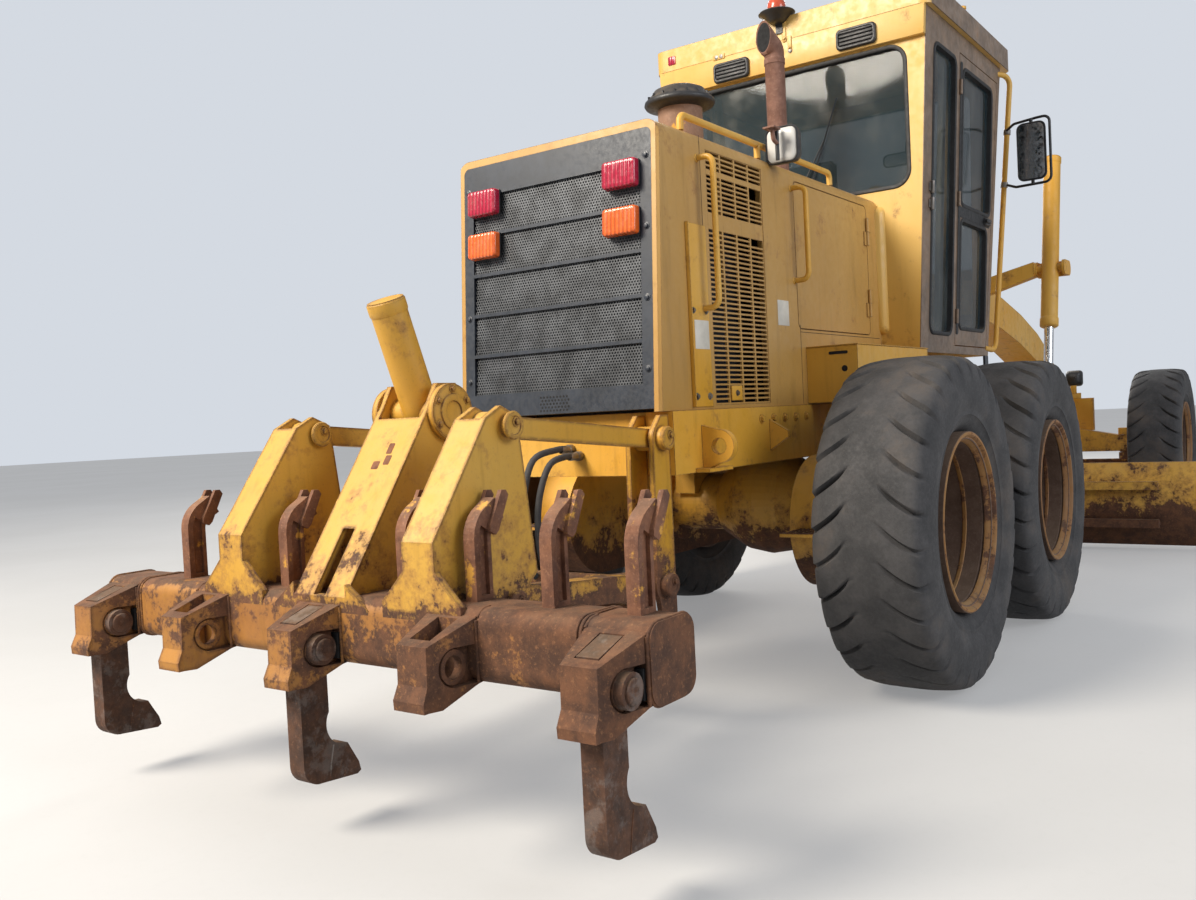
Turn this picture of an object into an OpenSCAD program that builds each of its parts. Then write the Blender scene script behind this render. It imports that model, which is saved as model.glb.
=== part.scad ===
// Motor grader: six wheels, hinged frame, blade on a circle, rear ripper.
// Millimetres. +X is forward, +Y is left, +Z is up.
// Places are measured from the ground under the centre of the rear tandems,
// and the whole model is then moved so that X = 0 is the middle of its length.

/* [Wheels] */
// Tandem centre to front axle
wheelbase = 6090; // [5900:10:6300]
// Distance between the two wheels of a tandem
tandem_pitch = 1523; // [1480:1:1560]
// Centre line to the middle of a tyre
wheel_y = 1043; // [1030:1:1080]
// Tyre diameter over the lugs
tyre_od = 1360; // [1340:2:1380]
// Tyre width at the sidewalls
tyre_w = 440; // [400:2:446]
// Diameter over the rim flanges
rim_d = 730; // [700:2:760]
// Width over the rim flanges
rim_w = 400; // [360:2:410]
// Radius of the stub axles
stub_r = 62; // [50:1:75]
// Lugs round a tyre, on each side of its tread
lug_count = 28; // [22:1:32]
// Depth of the grooves between the lugs
lug_h = 18; // [8:1:28]

/* [Rear frame] */
// Underside of the side rails
rail_bottom = 950; // [930:5:970]
// Top of the side rails
rail_top = 1185; // [1170:5:1200]
// Half width over the rails
rail_half = 500; // [490:1:505]
// Width of one rail
rail_w = 120; // [90:1:140]
// Rear end of the rails
rail_rear = -1800; // [-1820:5:-1780]
// Hinge between rear and front frame
hitch_x = 1950; // [1930:5:1970]
// Radius of the hinge pin
hitch_pin_r = 45; // [35:1:50]
// Radius of the bore in a tie-down eye
eye_r = 30; // [20:1:34]
// Thickness of a tie-down eye
eye_t = 30; // [20:1:40]

/* [Tandems and axle] */
// Height of a tandem case
case_h = 572; // [540:2:590]
// Width of a tandem case
case_w = 200; // [180:2:210]
// Centre line to the inner face of a tandem case
case_y = 580; // [560:5:600]
// Radius of the rear axle tubes
axle_r = 150; // [130:5:170]

/* [Hood] */
// Top of the hood
hood_top = 2250; // [2200:5:2300]
// Half width of the hood
hood_half = 487; // [480:1:495]
// Thickness of the hood's walls
hood_t = 30; // [20:1:34]
// Rear edge of the hood at its top
hood_rear = -1787; // [-1810:1:-1770]
// How far the lower edge of the grille stands behind its top
grille_lean = 70; // [40:5:90]
// Depth of the grille frame
grille_t = 45; // [35:1:60]
// Width of the grille frame's bars
grille_bar = 48; // [40:1:60]
// Spacing of the louvre slots, one above the other
louvre_pitch = 19; // [16:0.5:24]

/* [Cab] */
// Rear face of the cab
cab_rear = 360; // [350:5:370]
// Front of the cab at its floor
cab_front = 1600; // [1580:5:1640]
// Forward lean of the windscreen from floor to roof
cab_lean = 140; // [100:5:160]
// Underside of the cab
cab_floor = 1430; // [1425:5:1440]
// Eaves of the cab
cab_eaves = 3185; // [3150:5:3200]
// Half width of the cab at its floor
cab_half = 690; // [680:5:700]
// Half width of the cab at its eaves
cab_half_top = 790; // [780:5:800]
// Thickness of cab walls and doors
cab_t = 50; // [40:1:60]
// Thickness of the roof
roof_t = 125; // [100:5:140]
// Thickness of window panes
pane_t = 8; // [6:1:12]

/* [Front frame] */
// Height of the gooseneck beam
neck_h = 260; // [240:5:280]
// Width of the gooseneck beam
neck_w = 280; // [240:5:300]
// Centre line to a lift cylinder
lift_y = 690; // [680:5:700]
// Outer diameter of a lift cylinder
lift_d = 120; // [100:5:130]
// Diameter of a lift cylinder's rod
lift_rod_d = 66; // [50:2:80]

/* [Blade] */
// Length of the moldboard
blade_l = 3660; // [3500:10:3680]
// Height of the moldboard
blade_h = 610; // [580:5:620]
// Thickness of the moldboard
blade_t = 22; // [18:1:26]
// Radius of the moldboard's curve
blade_r = 420; // [400:5:480]
// Ground clearance of the cutting edge
blade_clear = 30; // [20:5:40]
// Centre of the circle
circle_x = 3500; // [3490:5:3505]
// Outer radius of the circle
circle_r = 765; // [750:5:770]
// Radial width of the circle ring
circle_w = 125; // [115:5:130]

/* [Ripper] */
// From the tandem centre to the rear of the ripper's pockets
rear_reach = 3200; // [3100:10:3300]
// Spacing of the ripper pockets
pocket_pitch = 533; // [520:1:536]
// Radius of a pocket's pin bore
pocket_pin_r = 32; // [25:1:36]
// Thickness of a ripper shank
shank_t = 64; // [56:1:68]
// Half length of the ripper beam
beam_half = 1165; // [1160:1:1200]
// Thickness of the ripper's plates
plate_t = 20; // [16:1:24]
// Centre line to the ripper's links and arms
link_y = 420; // [410:5:425]
// Outer diameter of the ripper cylinder
ripper_d = 120; // [110:5:140]
// Diameter of the ripper cylinder's rod
ripper_rod_d = 70; // [60:5:80]

/* [Hidden] */

// Clearances
run = 0.3;      // pin or shaft in its bore
free = 6;       // pieces that pass each other
round_n = 48;   // sides asked of a round form, which is kept as a true curve

// Whole machine
wheel_z = tyre_od / 2;
front_reach = wheelbase + tyre_od / 2;
mid_x = (front_reach - rear_reach) / 2;

// Colours
yellow = "#e0a42c";
rust = "#7a4a30";
black = "#202326";
grey = "#4a4846";
steel = "#b9bcc0";
glass = "#5c7482";

// Ripper pivots, as [x, z]
beam_x = [170 - rear_reach, 370 - rear_reach];
beam_z = [490, 690];
arm_front = [rail_rear - 69, 564];
arm_rear = [beam_x[1] + 113, 640];
link_rear = [beam_x[1] + 129, 1165];
link_front = link_rear + arm_front - arm_rear;
trunnion = [beam_x[1] + 266, 1217];
rod_eye = [rail_rear - 480, 450];
pocket_pin = [beam_x[0] - 65, 550];
link_w = 78;
ear_gap = link_w + 2;

// Blade lift pivots, as [x, z]
ball = [wheelbase - 340, 980];
lift_ball = [circle_x - 400, 1050];
lift_pin = [lift_ball[0] + 250, 2115];

// Door openings
door_x = [cab_front - 665, cab_front - 55];
door_z = [cab_floor + 50, cab_eaves - 105];
door_mid = 2270;    // foot of the upper window in a door
hatch_x = [-665, 200];
hatch_z = [1530, hood_top - 65];

module at_middle() { translate([-mid_x, 0, 0]) children(); }

module both() {
    children();
    mirror([0, 1, 0]) children();
}

// Box from one corner to the opposite one
module box(a, b) {
    translate([min(a[0], b[0]), min(a[1], b[1]), min(a[2], b[2])])
        cube([abs(b[0] - a[0]), abs(b[1] - a[1]), abs(b[2] - a[2])]);
}

// Round bar along Y between two places
module bar_y(p, r, y0, y1) {
    translate([p[0], y1, p[1]]) rotate([90, 0, 0]) cylinder(r=r, h=y1 - y0, $fn=round_n);
}

// Outline in X and Z, given thickness along Y
module plate_y(y0, y1) {
    translate([0, y1, 0]) rotate([90, 0, 0]) linear_extrude(y1 - y0) children();
}

// Outline in Y and Z, given thickness along X
module plate_x(x0, x1) {
    translate([x0, 0, 0]) rotate([90, 0, 90]) linear_extrude(x1 - x0) children();
}

// Straight bar between two round eyes of radius r; the bar is a little narrower than the eyes
module strip(a, b, r, waist=1) {
    d = b - a;
    h = r - waist;
    translate(a) rotate(atan2(d[1], d[0])) translate([0, -h]) square([norm(d), 2 * h]);
    translate(a) circle(r=r, $fn=round_n);
    translate(b) circle(r=r, $fn=round_n);
}

// Beam of constant height along a path in X and Z, with mitred bends
function left_of(v) = [-v[1], v[0]] / norm(v);
function mitre(p, i, r) =
    let(a = left_of(i > 0 ? p[i] - p[i - 1] : p[1] - p[0]),
        b = left_of(i < len(p) - 1 ? p[i + 1] - p[i] : p[i] - p[i - 1]),
        n = (a + b) / norm(a + b))
    p[i] + n * r / (n * a);

module strip_path(points, r) {
    last = len(points) - 1;
    polygon(concat([for (i = [0:last]) mitre(points, i, r)], [for (i = [last:-1:0]) mitre(points, i, -r)]));
}

// Points on an arc about c, from angle a0 to a1 in n steps
function arc(c, r, a0, a1, n) =
    [for (i = [0:n]) let(a = a0 + (a1 - a0) * i / n) c + r * [cos(a), sin(a)]];

// Rectangle with rounded corners, from one corner to the other
module round_rect(a, b, r) {
    translate([a[0] + r, a[1]]) square([b[0] - a[0] - 2 * r, b[1] - a[1]]);
    translate([a[0], a[1] + r]) square([b[0] - a[0], b[1] - a[1] - 2 * r]);
    for (x = [a[0] + r, b[0] - r], y = [a[1] + r, b[1] - r]) translate([x, y]) circle(r=r, $fn=round_n);
}

// Round bar from one point in space to another
module rod(a, b, r) {
    d = b - a;
    translate(a) rotate([0, acos(d[2] / norm(d)), atan2(d[1], d[0])])
        cylinder(r=r, h=norm(d), $fn=round_n);
}

// Wheels

bead_h = 22;    // how far the rim's flange stands above the tyre's seat
bead_y = 150;   // half width between the rim's flanges
hub_in = 205;   // from the middle of the tyre to the hub's inner face
stub_end = 60;  // from the middle of the tyre to the end of the stub axle
groove_w = 28;  // width of a groove in the tread
disc_y = -112;  // inner face of the rim's disc, from the middle of the tyre

// Revolves an outline of [radius, outward] about Y; side is +1 for left
module revolve_y(side) {
    rotate([-90 * side, 0, 0]) rotate_extrude($fn=round_n) children();
}

module tyre(side) {
    body_r = tyre_od / 2;
    half = tyre_w / 2;
    flange = rim_d / 2;
    shoulder = [[flange + 1, bead_y], [flange + 38, half - 25], [flange + 100, half - 3], [flange + 150, half],
        [body_r - 60, half - 10], [body_r - 16, half - 46], [body_r, half - 100]];
    last = len(shoulder) - 1;
    color(grey) difference() {
        revolve_y(side) polygon(concat([[flange - bead_h, -bead_y]],
            [for (p = shoulder) [p[0], -p[1]]], [for (i = [last:-1:0]) shoulder[i]], [[flange - bead_h, bead_y]]));
        // Grooves run from the worn middle of the tread out over each shoulder
        for (s = [-1, 1], i = [0:lug_count - 1]) rotate([0, (i + s * 0.25) * 360 / lug_count, 0])
            translate([0, s * 0.32 * half, 0]) rotate([0, 0, s * side * 28])
                translate([-groove_w / 2, s > 0 ? 0 : -tyre_w / 2, body_r - lug_h]) cube([groove_w, tyre_w / 2, 3 * lug_h]);
    }
}

module rim(side) {
    flange = rim_d / 2;
    edge = rim_w / 2;
    seat = flange - bead_h;
    inner = seat - 18;
    hub_r = stub_r + 60;
    color(rust) revolve_y(side) polygon([
        [stub_r + run, -hub_in], [hub_r, -hub_in], [hub_r, disc_y], [inner, disc_y + 12], [inner, -edge],
        [flange, -edge], [flange, -bead_y], [seat, -bead_y], [seat, bead_y], [flange, bead_y],
        [flange, edge], [flange - 12, edge], [flange - 16, edge - 9], [inner + 10, edge - 14],
        [inner + 10, edge - 42], [inner, edge - 50], [inner, disc_y + 40], [hub_r + 80, disc_y + 28],
        [hub_r - 18, disc_y + 34], [hub_r - 26, disc_y + 84], [0, disc_y + 84], [0, -stub_end + 2],
        [stub_r + run, -stub_end + 2]]);
}

module wheel_at(x, side) { translate([x, side * wheel_y, wheel_z]) children(); }

// Rear frame

module rail_outline(more=0) {
    front = hitch_x - 250 + more;
    polygon([[rail_rear, rail_bottom], [rail_rear, rail_top + more], [front, rail_top + more],
        [front, rail_bottom - 40 - more / 5], [hitch_x - 450, rail_bottom]]);
}

module hitch_lug(z0, z1) {
    translate([0, 0, z0]) linear_extrude(z1 - z0) {
        polygon([[hitch_x - 260, -230], [hitch_x, -120], [hitch_x, 120], [hitch_x - 260, 230]]);
        translate([hitch_x, 0]) circle(r=120, $fn=round_n);
    }
}

// Hanging plate that holds the front ends of the ripper's links and arms
module ripper_hanger(y0, y1) {
    plate_y(y0, y1) {
        polygon([[rail_rear, rail_top - 12], [rail_rear, 420], [rail_rear - 90, 420],
            [arm_front[0] - 55, arm_front[1]], [link_front[0] - 55, link_front[1]],
            [link_front[0] - 40, rail_top - 55], [link_front[0], rail_top - 12]]);
        translate(link_front) circle(r=58, $fn=round_n);
        translate(arm_front) circle(r=62, $fn=round_n);
    }
}

module tie_down_eye() {
    eye_y = rail_half + 72;
    eye_z = 1045;
    eye_x = -1585;
    difference() {
        plate_x(eye_x - eye_t / 2, eye_x + eye_t / 2) {
            translate([eye_y, eye_z]) circle(r=eye_r + 33, $fn=round_n);
            polygon([[rail_half, eye_z - 95], [rail_half, eye_z + 80], [eye_y, eye_z + eye_r + 33],
                [eye_y + 30, eye_z - eye_r - 25], [eye_y, eye_z - eye_r - 33]]);
        }
        translate([eye_x - eye_t, eye_y, eye_z]) rotate([0, 90, 0])
            cylinder(r=eye_r, h=2 * eye_t, $fn=round_n);
    }
    box([eye_x - 70, rail_half, eye_z - 95], [eye_x + 110, rail_half + 60, eye_z - 80]);
}

module rear_frame() {
    color(yellow) at_middle() both() {
        plate_y(rail_half - rail_w, rail_half) rail_outline();
        tie_down_eye();
        plate_x(-1030, -1010) polygon([[rail_half, 1000], [rail_half, 1130], [rail_half + 85, 1080],
            [rail_half + 85, 1055]]);
        for (x = [cab_rear + 110, cab_front - 180])
            translate([x, rail_half - rail_w / 2, rail_top]) cylinder(r=50, h=cab_floor - rail_top, $fn=round_n);
    }
}

// Members between the rails, the last of them with the lugs and pin of the frame's hinge
module cross_members() {
    inner = rail_half - rail_w;
    color(yellow) at_middle() {
        box([rail_rear, -inner, rail_bottom], [rail_rear + 40, inner, rail_top]);
        for (x = [-1250, -450, 700]) box([x, -inner, 1000], [x + 90, inner, 1100]);
        difference() {
            box([hitch_x - 390, -rail_half, 740], [hitch_x - 250, rail_half, rail_top]);
            both() plate_y(inner, rail_half + 1) rail_outline(10);
        }
        hitch_lug(740, 815);
        hitch_lug(1120, rail_top);
        translate([hitch_x, 0, 728]) cylinder(r=hitch_pin_r, h=rail_top + 12 - 728, $fn=round_n);
    }
}

// Plates and pins behind the rails that carry the ripper's links, arms and cylinder
module ripper_hangers() {
    ear = ear_gap / 2;
    color(yellow) at_middle() difference() {
        union() {
            both() {
                ripper_hanger(link_y - ear - plate_t, link_y - ear);
                ripper_hanger(link_y + ear, link_y + ear + plate_t);
                for (p = [link_front, arm_front]) {
                    bar_y(p, 28, link_y - 75, link_y + 85);
                    bar_y(p, 42, link_y + ear + plate_t, link_y + 85);
                }
                plate_y(45, 45 + plate_t) {
                    strip([rail_rear - 40, 440], rod_eye + [25, -8], 34);
                    translate(rod_eye) circle(r=52, $fn=round_n);
                }
            }
            box([rail_rear - 90, -(link_y - ear - plate_t), 400], [rail_rear, link_y - ear - plate_t, 480]);
        }
        box([rail_rear, -rail_half, 300], [rail_rear + 200, rail_half, rail_top]);
    }
}

collar = 35;    // width of the flange between axle tube and tandem case

module rear_axle() {
    color(yellow) at_middle() {
        bar_y([0, wheel_z], axle_r, -case_y + collar, case_y - collar);
        translate([0, 0, wheel_z]) rotate([90, 0, 0]) rotate_extrude($fn=round_n)
            polygon([[0, -260], [axle_r + 20, -260], [250, -120], [270, 0], [250, 120], [axle_r + 20, 260], [0, 260]]);
        both() box([-180, rail_half - rail_w, wheel_z + 60], [180, rail_half, rail_bottom]);
        translate([0, 0, wheel_z + 40]) rotate([0, 90, 0]) cylinder(r=110, h=420, $fn=round_n);
    }
}

module tandem_cases() {
    color(yellow) at_middle() both() {
        plate_y(case_y, case_y + case_w)
            strip([-tandem_pitch / 2, wheel_z], [tandem_pitch / 2, wheel_z], case_h / 2);
        bar_y([0, wheel_z], axle_r + 60, case_y - collar, case_y);
        for (x = [-1, 1] * tandem_pitch / 2) {
            bar_y([x, wheel_z], stub_r + 70, case_y + case_w, wheel_y - hub_in - run);
            bar_y([x, wheel_z], stub_r, case_y, wheel_y - stub_end);
        }
        box([-tandem_pitch / 2 - case_h / 2 - 160, case_y + 30, wheel_z - 25],
            [-tandem_pitch / 2 - case_h / 2 + 40, case_y + case_w, wheel_z - 10]);
    }
}

engine_x = [-1560, -300];
engine_z = [1100, 1950];
engine_half = 330;
gearbox_end = 610;
gearbox_half = 260;
gearbox_z = [wheel_z + 276, 1340];
sump_x = [-1400, -1250];
sump_half = 200;
sump_z = 930;

module engine_block() {
    color(black) at_middle() {
        box([engine_x[0], -engine_half, engine_z[0]], [engine_x[1], engine_half, engine_z[1]]);
        box([engine_x[1], -gearbox_half, gearbox_z[0]], [gearbox_end, gearbox_half, gearbox_z[1]]);
        box([sump_x[0], -sump_half, sump_z], [sump_x[1], sump_half, engine_z[0]]);
    }
}

// Hood

hood_r = 55;    // radius of the hood's upper edges

// Cross-section of the hood with round upper edges
module hood_section(inset) {
    w = hood_half - inset;
    top = hood_top - inset;
    r = hood_r - inset;
    translate([-w, rail_top]) square([2 * w, top - r - rail_top]);
    translate([-w + r, rail_top]) square([2 * (w - r), top - rail_top]);
    for (y = [-w + r, w - r]) translate([y, top - r]) circle(r=r, $fn=round_n);
}

// Side view of the hood behind the leaning grille
module hood_side(back) {
    polygon([[hood_rear - grille_lean + back, rail_top], [cab_rear, rail_top],
        [cab_rear, hood_top], [hood_rear + back, hood_top]]);
}

// Louvred sheets let into the hood's sides: four columns of slots, each in three groups that are
// given by their height above the sheet's foot and their number of slots
louvre_x = [-1452, -980];
louvre_z = [rail_top + 15, hood_top - 62];
louvre_t = 8;
slot_size = [105, 11];
slot_step = 118;
slot_groups = [[8, 36], [750, 8], [917, 4]];

// One sheet; broken is a list of [column, group, slot] where the bar above a slot is gone
module louvre_sheet(broken) {
    plate_y(hood_half - louvre_t - 2, hood_half - 2) translate([louvre_x[0], louvre_z[0]]) difference() {
        square([louvre_x[1] - louvre_x[0], louvre_z[1] - louvre_z[0]]);
        for (g = slot_groups, i = [0:g[1] - 1], c = [0:3])
            translate([slot_step * c + 6, g[0] + louvre_pitch * i]) square(slot_size);
        for (b = broken) translate([slot_step * b[0] + 6, slot_groups[b[1]][0] + louvre_pitch * b[2]])
            square([slot_size[0], slot_size[1] + louvre_pitch / 2]);
    }
}

module louvre_panels() {
    color(yellow) at_middle() {
        louvre_sheet([]);
        mirror([0, 1, 0]) louvre_sheet([[3, 0, 34], [3, 1, 5], [3, 1, 6]]);
    }
}

module hatch_outline(gap) { round_rect([hatch_x[0] - gap, hatch_z[0] - gap], [hatch_x[1] + gap, hatch_z[1] + gap], 30 + gap); }

// Hinge of a hood door: its knuckle turns below the one on the hood
hinge_z = [hatch_z[0] + 90, hatch_z[1] - 200];
hinge_xy = [hatch_x[1] - 8, hood_half + 9];
hinge_h = 70;

module hood_hinge(z) {
    translate([hinge_xy[0], hinge_xy[1], z]) cylinder(r=8, h=hinge_h, $fn=round_n);
}

module hood() {
    color(yellow) at_middle() both() for (z = hinge_z) {
        hood_hinge(z + hinge_h + run);
        translate([0, 0, z + hinge_h + run]) {
            box([hinge_xy[0], hood_half + 4, 0], [hatch_x[1] + 34, hood_half + 10, hinge_h]);
            box([hatch_x[1] + 6, hood_half, 0], [hatch_x[1] + 34, hood_half + 5, hinge_h]);
        }
    }
    color(yellow) at_middle() difference() {
        intersection() {
            plate_y(-hood_half, hood_half) hood_side(0);
            plate_x(hood_rear - 200, cab_rear) hood_section(0);
        }
        both() on_grille() translate([0, hood_half, -600]) rotate([0, 0, 45]) cube([14, 14, 1600], center=true);
        plate_x(hood_rear - 300, cab_rear + 10) {
            hood_section(hood_t);
            translate([-hood_half + hood_t, rail_top - 1]) square([2 * (hood_half - hood_t), 10]);
        }
        plate_y(-hood_half - 1, hood_half + 1) {
            hatch_outline(4);
            translate([louvre_x[0], louvre_z[0]])
                square([louvre_x[1] - louvre_x[0], louvre_z[1] - louvre_z[0]]);
        }
    }
}

module hood_door(side) {
    color(yellow) at_middle() scale([1, side, 1]) {
        plate_y(hood_half - hood_t, hood_half) hatch_outline(0);
        for (z = hinge_z) {
            hood_hinge(z);
            box([hinge_xy[0] - 34, hood_half, z], [hinge_xy[0], hood_half + 6, z + hinge_h]);
        }
    }
}

// Places things on the leaning grille: X = 0 is its outer face, Z = 0 its top edge
module on_grille() {
    h = hood_top - rail_top;
    translate([hood_rear - grille_lean * hood_t / h, 0, hood_top - hood_t])
        rotate([0, atan2(grille_lean, h), 0]) children();
}

grille_back = 12;   // thickness of the screen behind the grille's bars

module grille() {
    w = hood_half - hood_t;
    h = hood_top - hood_t - rail_top;
    color(black) at_middle() intersection() {
        on_grille() difference() {
            plate_x(0, grille_t) translate([-w, -h + 10]) square([2 * w, h + 20]);
            for (i = [0:4])
                plate_x(-1, grille_t - grille_back) translate([-w + grille_bar, -110 - (i + 1) * 165])
                    square([2 * (w - grille_bar), 152]);
        }
        plate_x(hood_rear - 300, cab_rear) hood_section(hood_t);
    }
}

module lamps() {
    lamp_y = 335;
    lamp_size = [150, 105];
    color("#b03030") at_middle() {
        both() on_grille() for (z = [-160, -334]) {
            box([-40, lamp_y - lamp_size[0] / 2, z - lamp_size[1] / 2],
                [0, lamp_y + lamp_size[0] / 2, z + lamp_size[1] / 2]);
            box([-1, lamp_y - 35, z - 42], [grille_t - grille_back, lamp_y + 35, z + 27]);
        }
        // Work lamp beside the hood rail
        x = -840;
        y = -rail_y - rail_r - 2;
        box([x - 20, -rail_y - 70, hood_top], [x + 20, -rail_y + 28, hood_top + 12]);
        box([x - 40, y - 130, hood_top + 12], [x + 40, y, hood_top + 132]);
    }
}

module pre_cleaner() {
    color(black) at_middle() translate([-1000, -120, hood_top]) rotate_extrude($fn=round_n)
        polygon([[0, 0], [100, 0], [100, 250], [150, 270], [156, 285], [150, 300], [120, 335], [60, 355], [0, 360]]);
}

module exhaust_stack() {
    color(rust) at_middle() translate([-20, -120, hood_top]) {
        cylinder(r=52, h=850, $fn=round_n);
        translate([0, 0, 840]) cylinder(r=60, h=60, $fn=round_n);
        translate([0, 0, 900]) rotate([0, -35, 0]) cylinder(r=50, h=130, $fn=round_n);
    }
}

rail_r = 14;                            // radius of the rails on the hood
rail_y = hood_half - hood_r - rail_r;   // centre line to a hood rail

module handle(x, z0, z1) {
    y = hood_half + 70;
    strip_r = 12;
    rod([x, y, z0], [x, y, z1], strip_r);
    for (z = [z0, z1]) rod([x, hood_half, z], [x, y, z], strip_r);
}

// Grab rail in front of the cab door
module grab_rail() {
    top = [cab_front + 190, 835, cab_eaves - 40];
    low = [cab_front + 130, 700, cab_floor + 25];
    end = 24 * (top - low) / norm(top - low);
    rod(top, low, 16);
    rod(low + end, [cab_front - 40, cab_half - 10, cab_floor + 45], 13);
    rod(top - end, [cab_front + 80, 760, cab_eaves - 50], 13);
}

module handrails() {
    color(yellow) at_middle() both() {
        handle(-1520, 1571, 2144);
        handle(-690, 1740, 2150);
        difference() {
            grab_rail();
            cab_solid(0);
        }
        rod([-1560, rail_y, hood_top + 60], [-150, rail_y, hood_top + 60], rail_r);
        for (x = [-1560, -920, -150])
            translate([x, rail_y, hood_top]) cylinder(r=rail_r, h=60, $fn=round_n);
    }
}

module side_boxes() {
    color(yellow) at_middle() both()
        box([-600, hood_half, rail_top + 5], [cab_rear - 15, 730, cab_floor + 10]);
}

// Cab

function cab_half_at(z) = cab_half + (cab_half_top - cab_half) * (z - cab_floor) / (cab_eaves - cab_floor);

module cab_solid(inset) {
    e = inset > 0 ? inset : 0;
    intersection() {
        plate_y(-900, 900) polygon([[cab_rear + inset, cab_floor + e], [cab_front - inset, cab_floor + e],
            [cab_front + cab_lean - inset, cab_eaves], [cab_rear + inset, cab_eaves]]);
        plate_x(cab_rear - 100, cab_front + 400) polygon([[-cab_half + inset, cab_floor + e],
            [cab_half - inset, cab_floor + e], [cab_half_top - inset, cab_eaves], [-cab_half_top + inset, cab_eaves]]);
    }
}

module door_outline(gap) {
    slope = cab_lean / (cab_eaves - cab_floor);
    polygon([[door_x[0] - gap, door_z[0] - gap], [door_x[1] + gap, door_z[0] - gap],
        [door_x[1] + gap + slope * (door_z[1] - door_z[0]), door_z[1] + gap], [door_x[0] - gap, door_z[1] + gap]]);
}

module rear_window(gap) { plate_x(cab_rear - 10, cab_rear + 100) round_rect([25 - cab_half - gap, hood_top + 50 - gap],
    [cab_half - 25 + gap, cab_eaves - 175 + gap], 80); }

module front_window(gap) { plate_x(cab_front - 120, cab_front + 300) round_rect([70 - cab_half - gap,
    cab_floor + 130 - gap], [cab_half - 70 + gap, cab_eaves - 125 + gap], 60); }

module quarter_window(gap) { plate_y(500, 900) round_rect([cab_rear + 140 - gap, cab_floor + 110 - gap],
    [door_x[0] - 75 + gap, cab_eaves - 155 + gap], 50); }

module door_windows(gap) {
    plate_y(500, 900) {
        round_rect([door_x[0] + 65 - gap, door_z[0] + 100 - gap], [door_x[1] - 45 + gap, door_mid - 90 + gap], 45);
        round_rect([door_x[0] + 65 - gap, door_mid - gap], [door_x[1] + 15 + gap, door_z[1] - 70 + gap], 45);
    }
}

module cab_shell() {
    color(yellow) at_middle() difference() {
        cab_solid(0);
        difference() {
            cab_solid(cab_t);
            box([0, -900, cab_eaves - 40], [3000, 900, cab_eaves + 1]);
        }
        rear_window(0);
        front_window(0);
        both() {
            quarter_window(0);
            plate_y(500, 900) door_outline(free - 1);
        }
    }
}

module cab_roof() {
    color(yellow) at_middle()
        translate([0, 0, cab_eaves]) linear_extrude(roof_t)
            round_rect([cab_rear - 30, -cab_half_top - 30], [cab_front + cab_lean + 130, cab_half_top + 30], 60);
}

module pane_layer() {
    difference() {
        cab_solid(20);
        cab_solid(20 + pane_t);
    }
}

module cab_glass() {
    color(glass) at_middle() {
        intersection() { pane_layer(); rear_window(0); }
        intersection() { pane_layer(); front_window(0); }
        both() intersection() { pane_layer(); quarter_window(0); }
    }
}

module door_glass(side) {
    color(glass) at_middle() scale([1, side, 1]) intersection() {
        pane_layer();
        door_windows(0);
    }
}

module cab_door(side) {
    color(yellow) at_middle() scale([1, side, 1]) {
        difference() {
            intersection() {
                difference() { cab_solid(0); cab_solid(cab_t - 5); }
                plate_y(500, 900) door_outline(0);
            }
            door_windows(0);
        }
        for (z = [door_z[0] + 120, 2250, door_z[1] - 220])
            rod([door_x[0] + 9, cab_half_at(z) + 7, z], [door_x[0] + 9, cab_half_at(z + 80) + 7, z + 80], 9);
    }
}

module operator_station() {
    floor_z = cab_floor + cab_t;
    color(black) at_middle() {
        box([640, -180, floor_z], [1000, 180, floor_z + 330]);
        box([1180, -110, floor_z], [1330, 110, floor_z + 560]);
        rod([1260, 0, floor_z + 500], [1194, 0, floor_z + 852], 32);
        translate([1190, 0, floor_z + 850]) rotate([0, -15, 0]) rotate_extrude($fn=round_n)
            translate([205, 0]) circle(r=14, $fn=24);
        translate([1190, 0, floor_z + 838]) rotate([0, -15, 0]) {
            cylinder(r=40, h=26, $fn=round_n);
            for (a = [0, 120, 240]) rotate(a) translate([0, -12, 8]) cube([200, 24, 10]);
        }
        both() box([1190, 110, floor_z + 380], [1300, 330, floor_z + 540]);
    }
}

module seat_cushions() {
    floor_z = cab_floor + cab_t;
    color(grey) at_middle() {
        box([580, -250, floor_z + 330 + run], [1060, 250, floor_z + 460]);
        difference() {
            translate([520, 0, floor_z + 440]) rotate([0, -8, 0]) box([0, -240, 0], [110, 240, 640]);
            box([400, -300, floor_z + 400], [800, 300, floor_z + 460 + run]);
        }
    }
}

module mirrors() {
    color(black) at_middle() both() difference() {
        union() {
            box([cab_front + 75, 905, 2440], [cab_front + 95, 1055, 2780]);
            for (z = [2470, 2750]) rod([cab_front + 170, 790, z], [cab_front + 85, 980, z], 8);
        }
        grab_rail();
    }
}

module steps() {
    x = cab_front - 125;
    color(black) at_middle() both() {
        for (z = [520, 820, 1120]) box([x, cab_half, z], [x + 190, 930, z + 30]);
        box([x + 60, cab_half - 12, 500], [x + 130, cab_half, cab_floor]);
        box([x + 60, 930, 500], [x + 130, 942, 1160]);
    }
}

// Front frame and blade

neck_path = [[hitch_x + 280, 968], [hitch_x + 440, 1500], [hitch_x + 530, 1700], [hitch_x + 670, 1840],
    [lift_pin[0] - 500, 1925], [lift_pin[0], 1955], [lift_pin[0] + 750, 1870], [wheelbase - 1390, 1760],
    [wheelbase - 840, 1620], [wheelbase - 440, 1470], [wheelbase - 190, 1330], [wheelbase, 1180]];

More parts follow.
